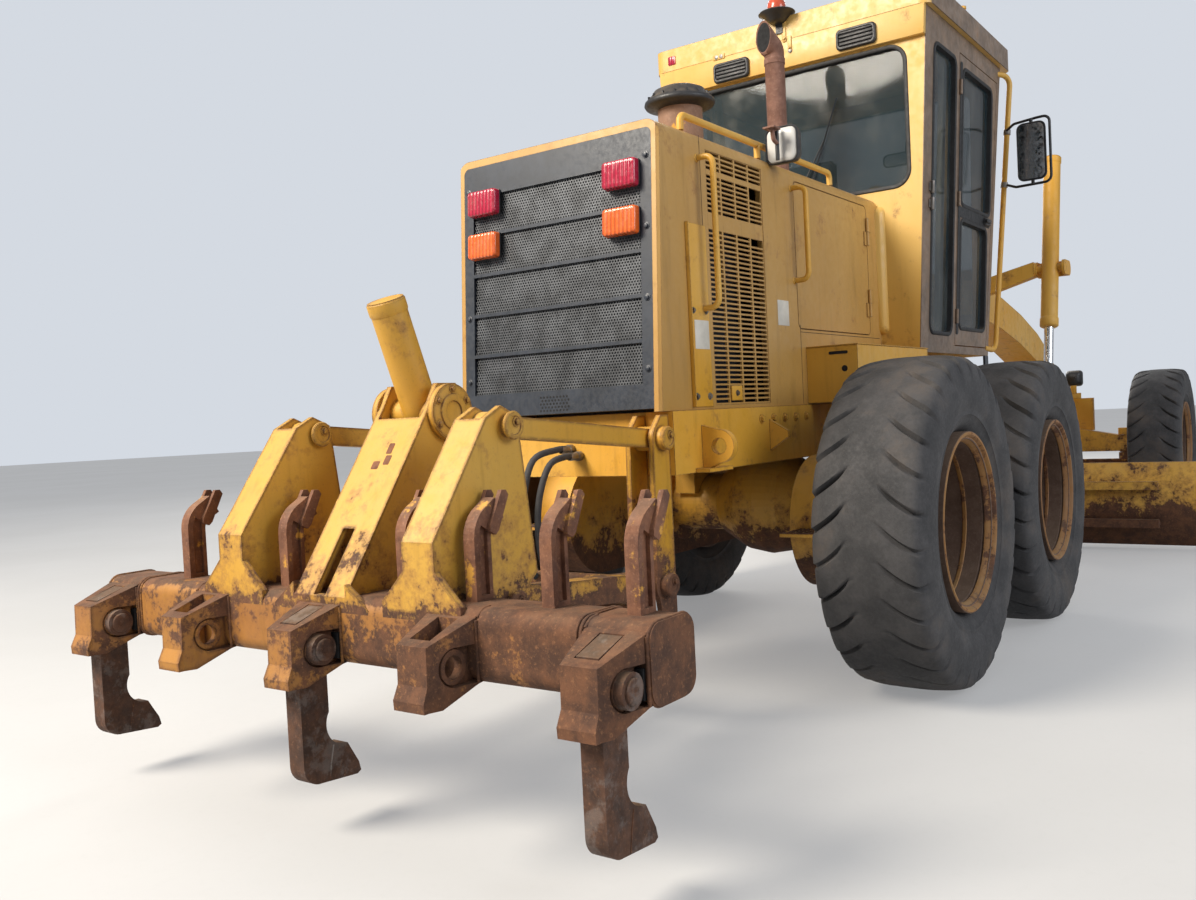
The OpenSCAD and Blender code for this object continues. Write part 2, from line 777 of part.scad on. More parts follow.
module front_frame() {
    plates = [wheelbase - 140, wheelbase + 90];
    color(yellow) at_middle() difference() {
        union() {
            plate_y(-neck_w / 2, neck_w / 2) strip_path(neck_path, neck_h / 2);
            translate([hitch_x, 0, 822]) cylinder(r=112, h=291, $fn=round_n);
            box([hitch_x, -100, 822], [hitch_x + 350, 100, 1113]);
            for (x = plates) box([x, -150, 700], [x + 60, 150, 1200]);
            translate([plates[0], 0, 800]) rotate([0, 90, 0]) cylinder(r=48, h=290, $fn=round_n);
            translate([ball[0], 0, ball[1]]) sphere(r=92, $fn=round_n);
            box([ball[0] + 20, -80, 900], [plates[0] + 10, 80, 1060]);
            box([wheelbase + 150, -420, 800], [wheelbase + 210, 420, 1120]);
        }
        translate([hitch_x, 0, 700]) cylinder(r=hitch_pin_r + run, h=500, $fn=round_n);
        translate([ball[0], 0, ball[1]]) sphere(r=62.5, $fn=round_n);
        box([ball[0] - 200, -100, ball[1] - 100], [ball[0] - 25, 100, ball[1] + 100]);
    }
}

module lift_saddle() {
    z = lift_pin[1];
    x = lift_pin[0];
    inner = lift_y - lift_d / 2 - 28;
    outer = lift_y + lift_d / 2 + 28;
    color(yellow) at_middle() {
        both() {
            difference() {
                union() {
                    plate_y(inner - 20, inner) strip([x, z], [x + 120, z], 55);
                    plate_y(outer, outer + 20) strip([x, z], [x + 120, z], 55);
                    box([x + 100, inner - 20, z - 55], [x + 140, outer + 20, z + 55]);
                }
                bar_y([x, z], 30 + run, inner - 30, outer + 30);
            }
            box([x - 60, neck_w / 2, z - 190], [x + 60, neck_w / 2 + 40, z + 55]);
            plate_x(x - 50, x + 50) polygon([[neck_w / 2 + 40, z - 170], [neck_w / 2 + 40, z - 40],
                [inner - 20, z + 55], [inner - 20, z - 55]]);
        }
        box([x - 60, -neck_w / 2 - 40, 2090], [x + 60, neck_w / 2 + 40, z + 55]);
    }
}

// Unit vector along a cylinder, as [x, z], from its pivot to its eye
function along(a, b) = (b - a) / norm(b - a);
lift_dir = along(lift_pin, lift_ball);
ripper_dir = along(trunnion, rod_eye);

module lift_barrels() {
    up = lift_pin - 875 * lift_dir;
    low = lift_pin + 450 * lift_dir;
    color(yellow) at_middle() both() {
        difference() {
            union() {
                rod([up[0], lift_y, up[1]], [low[0], lift_y, low[1]], lift_d / 2);
                bar_y(lift_pin, 30, lift_y - lift_d / 2 - 48, lift_y + lift_d / 2 + 48);
            }
            start = lift_pin - 845 * lift_dir;
            rod([start[0], lift_y, start[1]], [low[0] + 20 * lift_dir[0], lift_y, low[1] + 20 * lift_dir[1]],
                lift_rod_d / 2 + run);
        }
    }
}

module lift_rods() {
    top = lift_pin - 335 * lift_dir;
    color(steel) at_middle() both() difference() {
        union() {
            rod([top[0], lift_y, top[1]], [lift_ball[0], lift_y, lift_ball[1]], lift_rod_d / 2);
            bar_y(lift_ball, 62, lift_y - 28, lift_y + 28);
        }
        bar_y(lift_ball, 36, lift_y - 40, lift_y + 40);
    }
}

module drawbar() {
    z0 = 950;
    z1 = 1070;
    rear_x = lift_ball[0] - 110;
    arm_y = 560;
    color(yellow) at_middle() {
        translate([ball[0], 0, ball[1]]) sphere(r=62, $fn=round_n);
        rod([ball[0] - 20, 0, ball[1]], [ball[0] - 190, 0, ball[1] + 10], 36);
        translate([0, 0, z0]) linear_extrude(z1 - z0) {
            both_2d() polygon([[ball[0] - 160, 0], [ball[0] - 160, 62], [circle_x + 100, arm_y + 20],
                [rear_x, arm_y + 20], [rear_x, arm_y - 110], [circle_x + 60, arm_y - 110], [ball[0] - 420, 0]]);
            translate([rear_x, -arm_y]) square([220, 2 * arm_y]);
            translate([circle_x + 480, -390]) square([150, 780]);
        }
        translate([circle_x + 555, 0, z1]) cylinder(r=140, h=230, $fn=round_n);
        both() {
            bar_y(lift_ball, 26, arm_y, lift_y + 75);
            bar_y(lift_ball, 46, lift_y + 62, lift_y + 80);
            bar_y(lift_ball, 60, arm_y - 40, arm_y + 30);
        }
    }
}

module both_2d() {
    children();
    mirror([0, 1]) children();
}

module circle_arm_outline() {
    polygon([[circle_x - 330, 850], [circle_x + 110, 850], [circle_x - 120, 640], [circle_x - 175, 420],
        [circle_x - 180, 130], [circle_x - 300, 130], [circle_x - 330, 200]]);
}

module circle_ring() {
    z0 = 850;
    h = 100;
    tip_pin = [circle_x - 240, 220];
    color(yellow) at_middle() {
        translate([circle_x, 0, z0]) difference() {
            cylinder(r=circle_r, h=h - run, $fn=96);
            translate([0, 0, -1]) cylinder(r=circle_r - circle_w, h=h + 2, $fn=96);
        }
        both() difference() {
            plate_y(590, 630) circle_arm_outline();
            bar_y(tip_pin, 30 + run, 580, 640);
        }
    }
}

// Profile of the moldboard, open towards the front
function blade_mid() = blade_clear + blade_h / 2;
blade_edge_x = circle_x + 100;
blade_axis_x = blade_edge_x + sqrt(blade_r * blade_r - blade_h * blade_h / 4);

module blade_outline() {
    intersection() {
        translate([blade_axis_x, blade_mid()]) difference() {
            circle(r=blade_r + blade_t, $fn=96);
            circle(r=blade_r, $fn=96);
        }
        translate([blade_edge_x - 300, blade_clear]) square([300 + blade_t / 2, blade_h]);
    }
}

rail_pos = [[circle_x - 92, 205], [circle_x - 92, 480]];

// Back face of the moldboard at a height
function blade_back(z) = blade_axis_x - sqrt(pow(blade_r + blade_t, 2) - pow(z - blade_mid(), 2));

module moldboard() {
    color(yellow) at_middle() {
        plate_y(-blade_l / 2, blade_l / 2) {
            blade_outline();
            translate([blade_edge_x - 4, blade_clear]) square([20, 150]);
        }
        for (p = rail_pos) plate_y(-1350, 1350) {
            translate([p[0] - 22, p[1] - 30]) square([44, 60]);
            far = p[1] < blade_mid() ? p[1] - 12 : p[1] + 12;
            translate([p[0] + 20, p[1] - 12]) square([blade_back(far) + 3 - p[0] - 20, 24]);
        }
    }
}

module blade_carrier() {
    tip_pin = [circle_x - 240, 220];
    p0 = rail_pos[0];
    p1 = rail_pos[1];
    g = 1;
    color(yellow) at_middle() {
        both() difference() {
            union() {
                plate_y(400, 580) polygon([[tip_pin[0] - 50, p0[1] - 60], [p0[0] + 30, p0[1] - 60],
                    [p0[0] + 30, p1[1] + 60], [tip_pin[0] + 20, p1[1] + 60], [tip_pin[0] - 50, p1[1] - 20]]);
                bar_y(tip_pin, 30, 560, 636);
            }
            for (p = rail_pos) plate_y(390, 590) {
                translate([p[0] - 22 - g, p[1] - 30 - g]) square([44 + 2 * g, 60 + 2 * g]);
                translate([p[0], p[1] - 12 - 4]) square([60, 24 + 8]);
            }
        }
        bar_y([tip_pin[0] + 10, 400], 40, -400, 400);
    }
}

// Front axle and steering

king_y = 740;
king_r = 70;        // radius of the axle's end around the king pin
knuckle_in = 76;    // from the king pin to the knuckle's plate
knuckle_out = 92;   // from the king pin to the face that carries the stub axle
arm_pin = [wheelbase + 220, king_y];

module front_axle() {
    color(yellow) at_middle() difference() {
        union() {
            plate_x(wheelbase - king_r, wheelbase + king_r) {
                polygon([[-king_y, 600], [king_y, 600], [king_y, 740], [120, 860], [-120, 860], [-king_y, 740]]);
            }
            both() translate([wheelbase, king_y, 590]) cylinder(r=king_r, h=160, $fn=round_n);
        }
        translate([wheelbase - 100, 0, 800]) rotate([0, 90, 0]) cylinder(r=48 + run, h=200, $fn=round_n);
        both() translate([wheelbase, king_y, 580]) cylinder(r=32 + run, h=180, $fn=round_n);
    }
}

module spindle(side) {
    color(yellow) at_middle() scale([1, side, 1]) {
        translate([wheelbase, king_y, 520]) cylinder(r=32, h=300, $fn=round_n);
        for (z = [520, 756]) {
            translate([wheelbase, king_y, z]) cylinder(r=78, h=64, $fn=round_n);
            box([wheelbase - 78, king_y, z], [wheelbase + 78, king_y + knuckle_out, z + 64]);
        }
        box([wheelbase - 78, king_y + knuckle_in, 520], [wheelbase + 78, king_y + knuckle_out, 820]);
        bar_y([wheelbase, wheel_z], stub_r, king_y + knuckle_out, wheel_y - stub_end);
        translate([0, 0, 524]) linear_extrude(30)
            strip([wheelbase, king_y], arm_pin, 40);
        translate([arm_pin[0], arm_pin[1], 455]) cylinder(r=18, h=90, $fn=round_n);
    }
}

module tie_rod() {
    color(yellow) at_middle() difference() {
        union() {
            rod([arm_pin[0], -arm_pin[1] + 30, 490], [arm_pin[0], arm_pin[1] - 30, 490], 22);
            both() translate([arm_pin[0], arm_pin[1], 466]) cylinder(r=40, h=50, $fn=round_n);
        }
        both() translate([arm_pin[0], arm_pin[1], 400]) cylinder(r=18 + run, h=200, $fn=round_n);
    }
}

// Ripper

module ripper_arms() {
    color(yellow) at_middle() {
        both() difference() {
            plate_y(link_y - link_w / 2, link_y + link_w / 2) {
                strip(arm_front, arm_rear, 52, 8);
            }
            for (p = [arm_front, arm_rear]) bar_y(p, 28 + run, link_y - 60, link_y + 60);
        }
        bar_y(arm_front + [-105, 9], 34, -(link_y - link_w / 2), link_y - link_w / 2);
    }
}

module ripper_links() {
    color(yellow) at_middle() both() difference() {
        union() {
            plate_y(link_y - link_w / 2, link_y + link_w / 2) {
                translate(link_front) circle(r=44, $fn=round_n);
                translate(link_rear) circle(r=44, $fn=round_n);
            }
            plate_y(link_y - 28, link_y + 28) strip(link_front, link_rear, 36, 3);
        }
        for (p = [link_front, link_rear]) bar_y(p, 28 + run, link_y - 60, link_y + 60);
    }
}

// Side view of an outer tower, from the beam to the link's pin
module tower_outline() {
    polygon([[beam_x[0], beam_z[0] + 60], [beam_x[0], 860], [link_rear[0] - 90, 1190], [link_rear[0] - 20, 1225],
        [link_rear[0] + 50, 1195], [link_rear[0] + 62, 1110], [beam_x[1] + 240, 720], [beam_x[1], 520]]);
}

// The middle tower leans straight forward from the beam's rear edge to the cylinder's pivot
middle_lean = 0.7;
function middle_x(z) = beam_x[0] + middle_lean * (z - beam_z[1]);

module middle_outline() {
    polygon([[beam_x[0], beam_z[0] + 60], [beam_x[0], beam_z[1]], [middle_x(1240), 1240],
        trunnion + [-40, 95], trunnion + [45, 95], trunnion + [95, 40], trunnion + [95, -55],
        [beam_x[1] + 230, 760], [beam_x[1], 560]]);
}

pocket_half = 88;   // half width of a pocket at the beam
pocket_end = 53;    // half width of a pocket at its rear end
floor_y = 56;       // from a pocket's middle to the floor of the recess in its side
collar_y = 64;      // from a pocket's middle to the face of the collar round the pin's bore
beam_r = 45;        // radius of the beam's edges

module pocket_outline() {
    inside = beam_x[0] + 60;
    polygon([[inside, beam_z[1] - 2], [beam_x[0], beam_z[1] - 22], [20 - rear_reach, 616], [18 - rear_reach, 515],
        [-rear_reach, 476], [2 - rear_reach, 450], [60 - rear_reach, 448], [beam_x[0], 494], [inside, 502]]);
}

// Pocket without its slot and bore: the side outline, narrower towards the rear
module pocket_body() {
    intersection() {
        plate_y(-pocket_half, pocket_half) pocket_outline();
        translate([0, 0, 400]) linear_extrude(400) both_2d() polygon([[beam_x[0] + 70, -1], [beam_x[0] + 70, pocket_half],
            [beam_x[0], pocket_half], [20 - rear_reach, pocket_end], [-rear_reach - 1, pocket_end + 2],
            [-rear_reach - 1, -1]]);
    }
}

// Pocket casting with its shank slot, and a collared pin bore in a recess on each side
module pocket() {
    difference() {
        pocket_body();
        for (s = [0, 1]) mirror([0, s, 0]) plate_y(floor_y, pocket_half + 1) {
            translate(pocket_pin) circle(r=pocket_pin_r + 20, $fn=round_n);
            translate(pocket_pin + [0, -pocket_pin_r - 19]) square([200, 2 * pocket_pin_r + 38]);
        }
        box([slot_x[0], -shank_t / 2 - slot_gap, 400], [slot_x[1], shank_t / 2 + slot_gap, 720]);
        bar_y(pocket_pin, pocket_pin_r, -pocket_half - 1, pocket_half + 1);
    }
    for (s = [0, 1]) mirror([0, s, 0]) difference() {
        bar_y(pocket_pin, pocket_pin_r + 14, floor_y, collar_y);
        bar_y(pocket_pin, pocket_pin_r, floor_y - 1, collar_y + 1);
    }
}

slot_x = [beam_x[0] - 118, beam_x[0] - 10];
slot_gap = 4;

module beam_tube() {
    plate_y(-beam_half, beam_half) round_rect([beam_x[0], beam_z[0]], [beam_x[1], beam_z[1]], beam_r);
}

module ripper_beam() {
    color(rust) at_middle() {
        beam_tube();
        for (k = [-2:2]) translate([0, k * pocket_pitch, 0]) pocket();
    }
}

// Welded towers on the beam, with the pins of the links, arms and cylinder
module ripper_towers() {
    color(yellow) difference() {
        tower_plates();
        at_middle() {
            beam_tube();
            for (k = [-2:2]) translate([0, k * pocket_pitch, 0]) pocket_body();
        }
    }
}

tower_foot = beam_z[1] - 60;

module tower_plates() {
    ear = ear_gap / 2;
    at_middle() both() {
        for (y = [link_y - ear - plate_t, link_y + ear]) difference() {
            plate_y(y, y + plate_t) tower_outline();
            bar_y(arm_rear, 28, y - 5, y + plate_t + 5);
        }
        plate_y(link_y - ear - plate_t, link_y + ear + plate_t)
            polygon([[beam_x[0], tower_foot], [beam_x[0], 860], [link_rear[0] - 90, 1190], [link_rear[0] - 75, 1178],
                [beam_x[0] + plate_t, 852], [beam_x[0] + plate_t, tower_foot]]);
        for (p = [link_rear, arm_rear]) bar_y(p, 28, link_y - 75, link_y + 85);
        difference() {
            plate_y(95, 95 + plate_t) middle_outline();
            bar_y(trunnion, 50 + run, 80, 130);
        }
        // Gussets on the beam, beside each tower
        for (s = [-1, 1]) translate([0, link_y + s * (ear + plate_t), 0]) plate_x(beam_x[0], beam_x[0] + plate_t)
            polygon([[0, tower_foot], [s * 90, tower_foot], [s * 90, beam_z[1]], [0, beam_z[1] + 90]]);
        translate([0, 95 + plate_t, 0]) plate_x(beam_x[0], beam_x[0] + plate_t)
            polygon([[0, tower_foot], [95, tower_foot], [95, tower_foot + 28], [0, beam_z[1] + 38]]);
    }
    cover = plate_t * sqrt(1 + middle_lean * middle_lean);
    at_middle() difference() {
        plate_y(-95, 95) polygon([[beam_x[0], tower_foot], [beam_x[0], beam_z[1]], [middle_x(1205), 1205],
            [middle_x(1205) + cover, 1205], [beam_x[0] + cover, beam_z[1]], [beam_x[0] + cover, tower_foot]]);
        box([beam_x[0] - 70, -26, beam_z[1] + 2], [beam_x[0] + 170, 26, 875]);
    }
}

// Side view of a ripper shank: a straight blade that turns forward into its boot
module shank_outline() {
    rear = slot_x[0] + slot_gap;
    front = slot_x[1] - slot_gap;
    heel = 58;
    difference() {
        union() {
            polygon([[rear, 150 + heel], [front, 150 + heel], [front, 662], [rear, 630]]);
            translate([rear + heel, 150 + heel]) circle(r=heel, $fn=round_n);
            polygon([[rear + heel, 150], [front + 95, 138], [front + 109, 146], [front + 102, 174],
                [front + 62, 244], [front + 10, 320], [rear + heel, 320]]);
        }
        translate([front + 58, 312]) circle(r=70, $fn=round_n);
    }
}

module ripper_shanks() {
    color(rust) at_middle() for (k = [-2, 0, 2]) translate([0, k * pocket_pitch, 0]) {
        difference() {
            plate_y(-shank_t / 2, shank_t / 2) shank_outline();
            bar_y(pocket_pin, pocket_pin_r - 4, -60, 60);
        }
        bar_y(pocket_pin, pocket_pin_r - 4.3, -collar_y - 25, collar_y + 12);
        bar_y(pocket_pin, pocket_pin_r + 12, -collar_y - 25, -collar_y - run);
    }
}

scarifier_k = [-4, -3, -2, -1, 1, 3];

// Scarifier shank stored upside down: a grooved bar that bends forward, with a prong on each side of its end
module scarifier() {
    x = beam_x[0] + 120;
    half = 34;
    inner = 30;
    bend = [x + half + inner, 858];
    turn = 60;
    reach = 50;
    out = [sin(turn), cos(turn)];
    tip = bend + (inner + half) * [-cos(turn), sin(turn)] + reach * out;
    difference() {
        plate_y(-20, 20) polygon(concat([[x + half, beam_z[1] - 12], [x - half, beam_z[1] - 12]],
            arc(bend, inner + 2 * half, 180, 180 - turn, 6), [tip + half * [-cos(turn), sin(turn)],
            tip - half * [-cos(turn), sin(turn)]], arc(bend, inner, 180 - turn, 180, 4)));
        for (s = [-1, 1]) plate_y(s * 14 - 6.01, s * 14 + 6.01)
            polygon(concat([[x + half - 14, beam_z[1] + 14], [x - half + 20, beam_z[1] + 14]],
                arc(bend, inner + 2 * half - 20, 180, 180 - turn * 0.5, 3), arc(bend, inner + 14, 180 - turn * 0.5, 180, 2)));
    }
    for (s = [-1, 1]) plate_y(s * 27 - 7, s * 27 + 7) translate(tip - 16 * out) rotate(62)
        polygon([[-66, -13], [-50, -19], [56, -16], [64, 0], [56, 16], [-50, 19], [-66, 13]]);
}

module scarifier_shanks() {
    color(rust) at_middle() difference() {
        for (k = scarifier_k) translate([0, k * pocket_pitch / 2, 0]) scarifier();
        box([beam_x[0] + 30, -beam_half, beam_z[1] - 100], [beam_x[1] + 30, beam_half, beam_z[1]]);
    }
}

module ripper_barrel() {
    up = trunnion - 392 * ripper_dir;
    low = trunnion + 330 * ripper_dir;
    tip = low + 20 * ripper_dir;
    start = trunnion - 378 * ripper_dir;
    color(yellow) at_middle() difference() {
        union() {
            rod([up[0], 0, up[1]], [low[0], 0, low[1]], ripper_d / 2);
            bar_y(trunnion, 50, -116, 116);
            both() bar_y(trunnion, 92, 116, 140);
        }
        rod([start[0], 0, start[1]], [tip[0], 0, tip[1]], ripper_rod_d / 2 + run);
    }
}

module ripper_rod() {
    top = trunnion;
    color(steel) at_middle() difference() {
        union() {
            rod([top[0], 0, top[1]], [rod_eye[0], 0, rod_eye[1]], ripper_rod_d / 2);
            bar_y(rod_eye, 55, -38, 38);
        }
        bar_y(rod_eye, 30, -60, 60);
    }
}

rear_frame();
cross_members();
ripper_hangers();
rear_axle();
tandem_cases();
engine_block();
hood();
louvre_panels();
grille();
lamps();
hood_door(1);  // hood_door_left
hood_door(-1);  // hood_door_right
pre_cleaner();
exhaust_stack();
handrails();
side_boxes();
cab_shell();
cab_roof();
cab_glass();
operator_station();
seat_cushions();
mirrors();
cab_door(1);  // cab_door_left
cab_door(-1);  // cab_door_right
door_glass(1);  // door_glass_left
door_glass(-1);  // door_glass_right
steps();
front_frame();
lift_saddle();
lift_barrels();
lift_rods();
drawbar();
circle_ring();  // circle
blade_carrier();
moldboard();
front_axle();
spindle(1);  // spindle_left
spindle(-1);  // spindle_right
tie_rod();
ripper_arms();
ripper_links();
ripper_beam();
ripper_towers();
ripper_shanks();
scarifier_shanks();
ripper_barrel();
ripper_rod();
at_middle() wheel_at(-tandem_pitch / 2, 1) tyre(1);  // tyre_rear_left
at_middle() wheel_at(-tandem_pitch / 2, -1) tyre(-1);  // tyre_rear_right
at_middle() wheel_at(tandem_pitch / 2, 1) tyre(1);  // tyre_mid_left
at_middle() wheel_at(tandem_pitch / 2, -1) tyre(-1);  // tyre_mid_right
at_middle() wheel_at(wheelbase, 1) tyre(1);  // tyre_front_left
at_middle() wheel_at(wheelbase, -1) tyre(-1);  // tyre_front_right
at_middle() wheel_at(-tandem_pitch / 2, 1) rim(1);  // rim_rear_left
at_middle() wheel_at(-tandem_pitch / 2, -1) rim(-1);  // rim_rear_right
at_middle() wheel_at(tandem_pitch / 2, 1) rim(1);  // rim_mid_left
at_middle() wheel_at(tandem_pitch / 2, -1) rim(-1);  // rim_mid_right
at_middle() wheel_at(wheelbase, 1) rim(1);  // rim_front_left
at_middle() wheel_at(wheelbase, -1) rim(-1);  // rim_front_right
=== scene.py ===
# Looks for the motor grader: materials, tread, mesh, lamps, glass and small parts on the CAD frame.
# Metres. +X is forward, +Y is left, +Z is up. Lengths along X are given from the centre of the
# rear tandems, as in the part's source, and at() turns them into the row's frame.

import math
import random

import bmesh
import bpy
from mathutils import Matrix, Vector, noise


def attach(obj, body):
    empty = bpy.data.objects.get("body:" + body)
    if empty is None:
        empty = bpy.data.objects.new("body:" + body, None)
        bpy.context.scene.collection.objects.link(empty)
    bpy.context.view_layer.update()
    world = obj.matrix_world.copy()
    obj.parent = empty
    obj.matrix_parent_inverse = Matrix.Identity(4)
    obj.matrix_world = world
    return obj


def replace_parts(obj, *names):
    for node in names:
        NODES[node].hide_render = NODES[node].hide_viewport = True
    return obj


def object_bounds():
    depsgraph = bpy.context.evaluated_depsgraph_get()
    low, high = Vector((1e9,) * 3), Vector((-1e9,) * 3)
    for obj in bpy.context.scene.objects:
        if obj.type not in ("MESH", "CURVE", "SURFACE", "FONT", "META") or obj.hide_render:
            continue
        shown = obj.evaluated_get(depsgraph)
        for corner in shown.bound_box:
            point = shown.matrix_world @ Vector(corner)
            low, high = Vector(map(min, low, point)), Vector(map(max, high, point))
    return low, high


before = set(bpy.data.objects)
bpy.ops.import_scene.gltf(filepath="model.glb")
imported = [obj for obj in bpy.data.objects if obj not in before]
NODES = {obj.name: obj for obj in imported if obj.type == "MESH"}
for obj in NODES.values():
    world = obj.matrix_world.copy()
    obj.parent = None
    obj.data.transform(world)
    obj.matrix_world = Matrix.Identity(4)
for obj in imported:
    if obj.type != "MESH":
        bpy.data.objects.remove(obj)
cad_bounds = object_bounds()
FRONT_REACH = 6.770     # front of the front tyres, measured from the tandem centre
MIDDLE_X = FRONT_REACH - cad_bounds[1][0]


def at(x, y, z):
    return Vector((x - MIDDLE_X, y, z))


def add_object(name, data):
    thing = bpy.data.objects.new(name, data)
    bpy.context.scene.collection.objects.link(thing)
    return thing


def to_mesh(bm, name):
    mesh = bpy.data.meshes.new(name)
    bm.to_mesh(mesh)
    bm.free()
    return mesh


def turns(n):
    """Cosine and sine of n even steps round a circle."""
    return [(math.cos(t), math.sin(t)) for t in (2 * math.pi * k / n for k in range(n))]


# ---- camera and light

CAMERA_AT = at(-5.0432, -2.4943, 1.1768)
CAMERA_TURN = (0.6242, -0.0315, -0.0504)     # yaw, pitch and roll in radians
LENS_MM = 31.56
SENSOR_MM = 36.0


def add_camera():
    yaw, pitch, roll = CAMERA_TURN
    ahead = Vector((math.cos(yaw) * math.cos(pitch), math.sin(yaw) * math.cos(pitch), math.sin(pitch)))
    right = Vector((math.sin(yaw), -math.cos(yaw), 0))
    up = right.cross(ahead)
    right, up = (right * math.cos(roll) + up * math.sin(roll), up * math.cos(roll) - right * math.sin(roll))
    turn = Matrix((right, up, -ahead)).transposed().to_4x4()
    data = bpy.data.cameras.new("camera")
    data.lens = LENS_MM
    data.sensor_width = SENSOR_MM
    data.clip_end = 300
    camera = add_object("camera", data)
    camera.matrix_world = Matrix.Translation(CAMERA_AT) @ turn
    bpy.context.scene.camera = camera


def area_light(name, place, aim, size, power, colour):
    data = bpy.data.lights.new(name, "AREA")
    data.shape, data.size, data.energy, data.color = "DISK", size, power, colour
    light = add_object(name, data)
    light.location = place
    light.rotation_euler = (Vector(aim) - Vector(place)).to_track_quat("-Z", "Y").to_euler()


# ---- shader nodes

class Shader:
    """A material with short calls for the nodes that most surfaces here use."""

    def __init__(self, name):
        self.material = bpy.data.materials.new(name)
        self.material.use_nodes = True
        self.tree = self.material.node_tree
        self.tree.nodes.clear()
        self.out = self.node("OutputMaterial")
        self.bsdf = self.node("BsdfPrincipled")
        self.link(self.bsdf.outputs[0], self.out.inputs[0])
        self.coords = self.node("TexCoord").outputs["Object"]

    def node(self, kind, **values):
        n = self.tree.nodes.new("ShaderNode" + kind)
        for key, value in values.items():
            setattr(n, key, value)
        return n

    def link(self, a, b):
        self.tree.links.new(a, b)

    def put(self, socket, value):
        if hasattr(value, "is_output"):
            self.link(value, socket)
        elif isinstance(value, (tuple, list)) and len(value) == 3 and socket.type == "RGBA":
            socket.default_value = (*value, 1)
        else:
            socket.default_value = value

    def scaled(self, stretch):
        m = self.node("Mapping")
        m.inputs["Scale"].default_value = stretch
        self.link(self.coords, m.inputs["Vector"])
        return m.outputs[0]

    def noise(self, scale, detail=4, rough=0.55, stretch=None):
        n = self.node("TexNoise")
        n.inputs["Scale"].default_value = scale
        n.inputs["Detail"].default_value = detail
        n.inputs["Roughness"].default_value = rough
        self.link(self.scaled(stretch) if stretch else self.coords, n.inputs["Vector"])
        return n.outputs["Fac"]

    def spots(self, scale, detail, rough, *limits):
        return self.between(self.noise(scale, detail, rough), *limits)

    def between(self, value, low, high, to_low=0.0, to_high=1.0):
        n = self.node("MapRange", interpolation_type="SMOOTHSTEP")
        self.put(n.inputs["Value"], value)
        n.inputs["From Min"].default_value = low
        n.inputs["From Max"].default_value = high
        n.inputs["To Min"].default_value = to_low
        n.inputs["To Max"].default_value = to_high
        return n.outputs[0]

    def calc(self, kind, a, b=0.0, c=0.0):
        n = self.node("Math", operation=kind, use_clamp=kind in ("ADD", "SUBTRACT", "MULTIPLY"))
        for socket, value in zip(n.inputs, (a, b, c)):
            self.put(socket, value)
        return n.outputs[0]

    def times(self, a, b):
        return self.calc("MULTIPLY", a, b)

    def plus(self, a, b):
        return self.calc("ADD", a, b)

    def mix(self, share, a, b, kind="RGBA"):
        n = self.node("Mix", data_type=kind)
        for socket, value in (("Factor", share), ("A", a), ("B", b)):
            self.put(n.inputs[socket], value)
        return n.outputs["Result"]

    def blend(self, share, a, b):
        return self.mix(share, a, b, "FLOAT")

    def part(self, vector, axis):
        n = self.node("SeparateXYZ")
        self.link(vector, n.inputs[0])
        return n.outputs[axis]

    def height_z(self):
        return self.part(self.coords, "Z")

    def across(self):
        return self.part(self.coords, "Y")

    def facing_up(self, low, high):
        return self.between(self.part(self.node("NewGeometry").outputs["Normal"], "Z"), low, high)

    def edges(self, radius):
        """1 on edges sharper than the radius, 0 on flat faces."""
        bevel = self.node("Bevel", samples=4)
        self.put(bevel.inputs["Radius"], radius)
        dot = self.node("VectorMath", operation="DOT_PRODUCT")
        self.link(bevel.outputs[0], dot.inputs[0])
        self.link(self.node("NewGeometry").outputs["Normal"], dot.inputs[1])
        return self.between(dot.outputs["Value"], 0.985, 0.86)

    def bump(self, *layers):
        """layers are (height, strength, distance in metres), added one over another."""
        normal = None
        for height, strength, distance in layers:
            n = self.node("Bump")
            n.inputs["Strength"].default_value = strength
            n.inputs["Distance"].default_value = distance
            self.link(height, n.inputs["Height"])
            if normal:
                self.link(normal, n.inputs["Normal"])
            normal = n.outputs[0]
        self.link(normal, self.bsdf.inputs["Normal"])

    def set(self, **values):
        for key, value in values.items():
            self.put(self.bsdf.inputs[key.replace("_", " ")], value)


RUST_DARK = (0.062, 0.027, 0.015)
RUST_MID = (0.150, 0.062, 0.028)
RUST_LIGHT = (0.270, 0.125, 0.055)
DUST = (0.36, 0.27, 0.17)
YELLOW = (0.640, 0.325, 0.030)
YELLOW_FADED = (0.660, 0.385, 0.075)
PRIMER = (0.135, 0.092, 0.062)


def rust_colour(s, base=(RUST_DARK, RUST_MID, RUST_LIGHT)):
    blotch = s.noise(14, 8, 0.7)
    fine = s.noise(90, 6, 0.7)
    colour = s.mix(s.between(blotch, 0.35, 0.68), base[0], base[1])
    return s.mix(s.between(fine, 0.52, 0.78), colour, base[2])


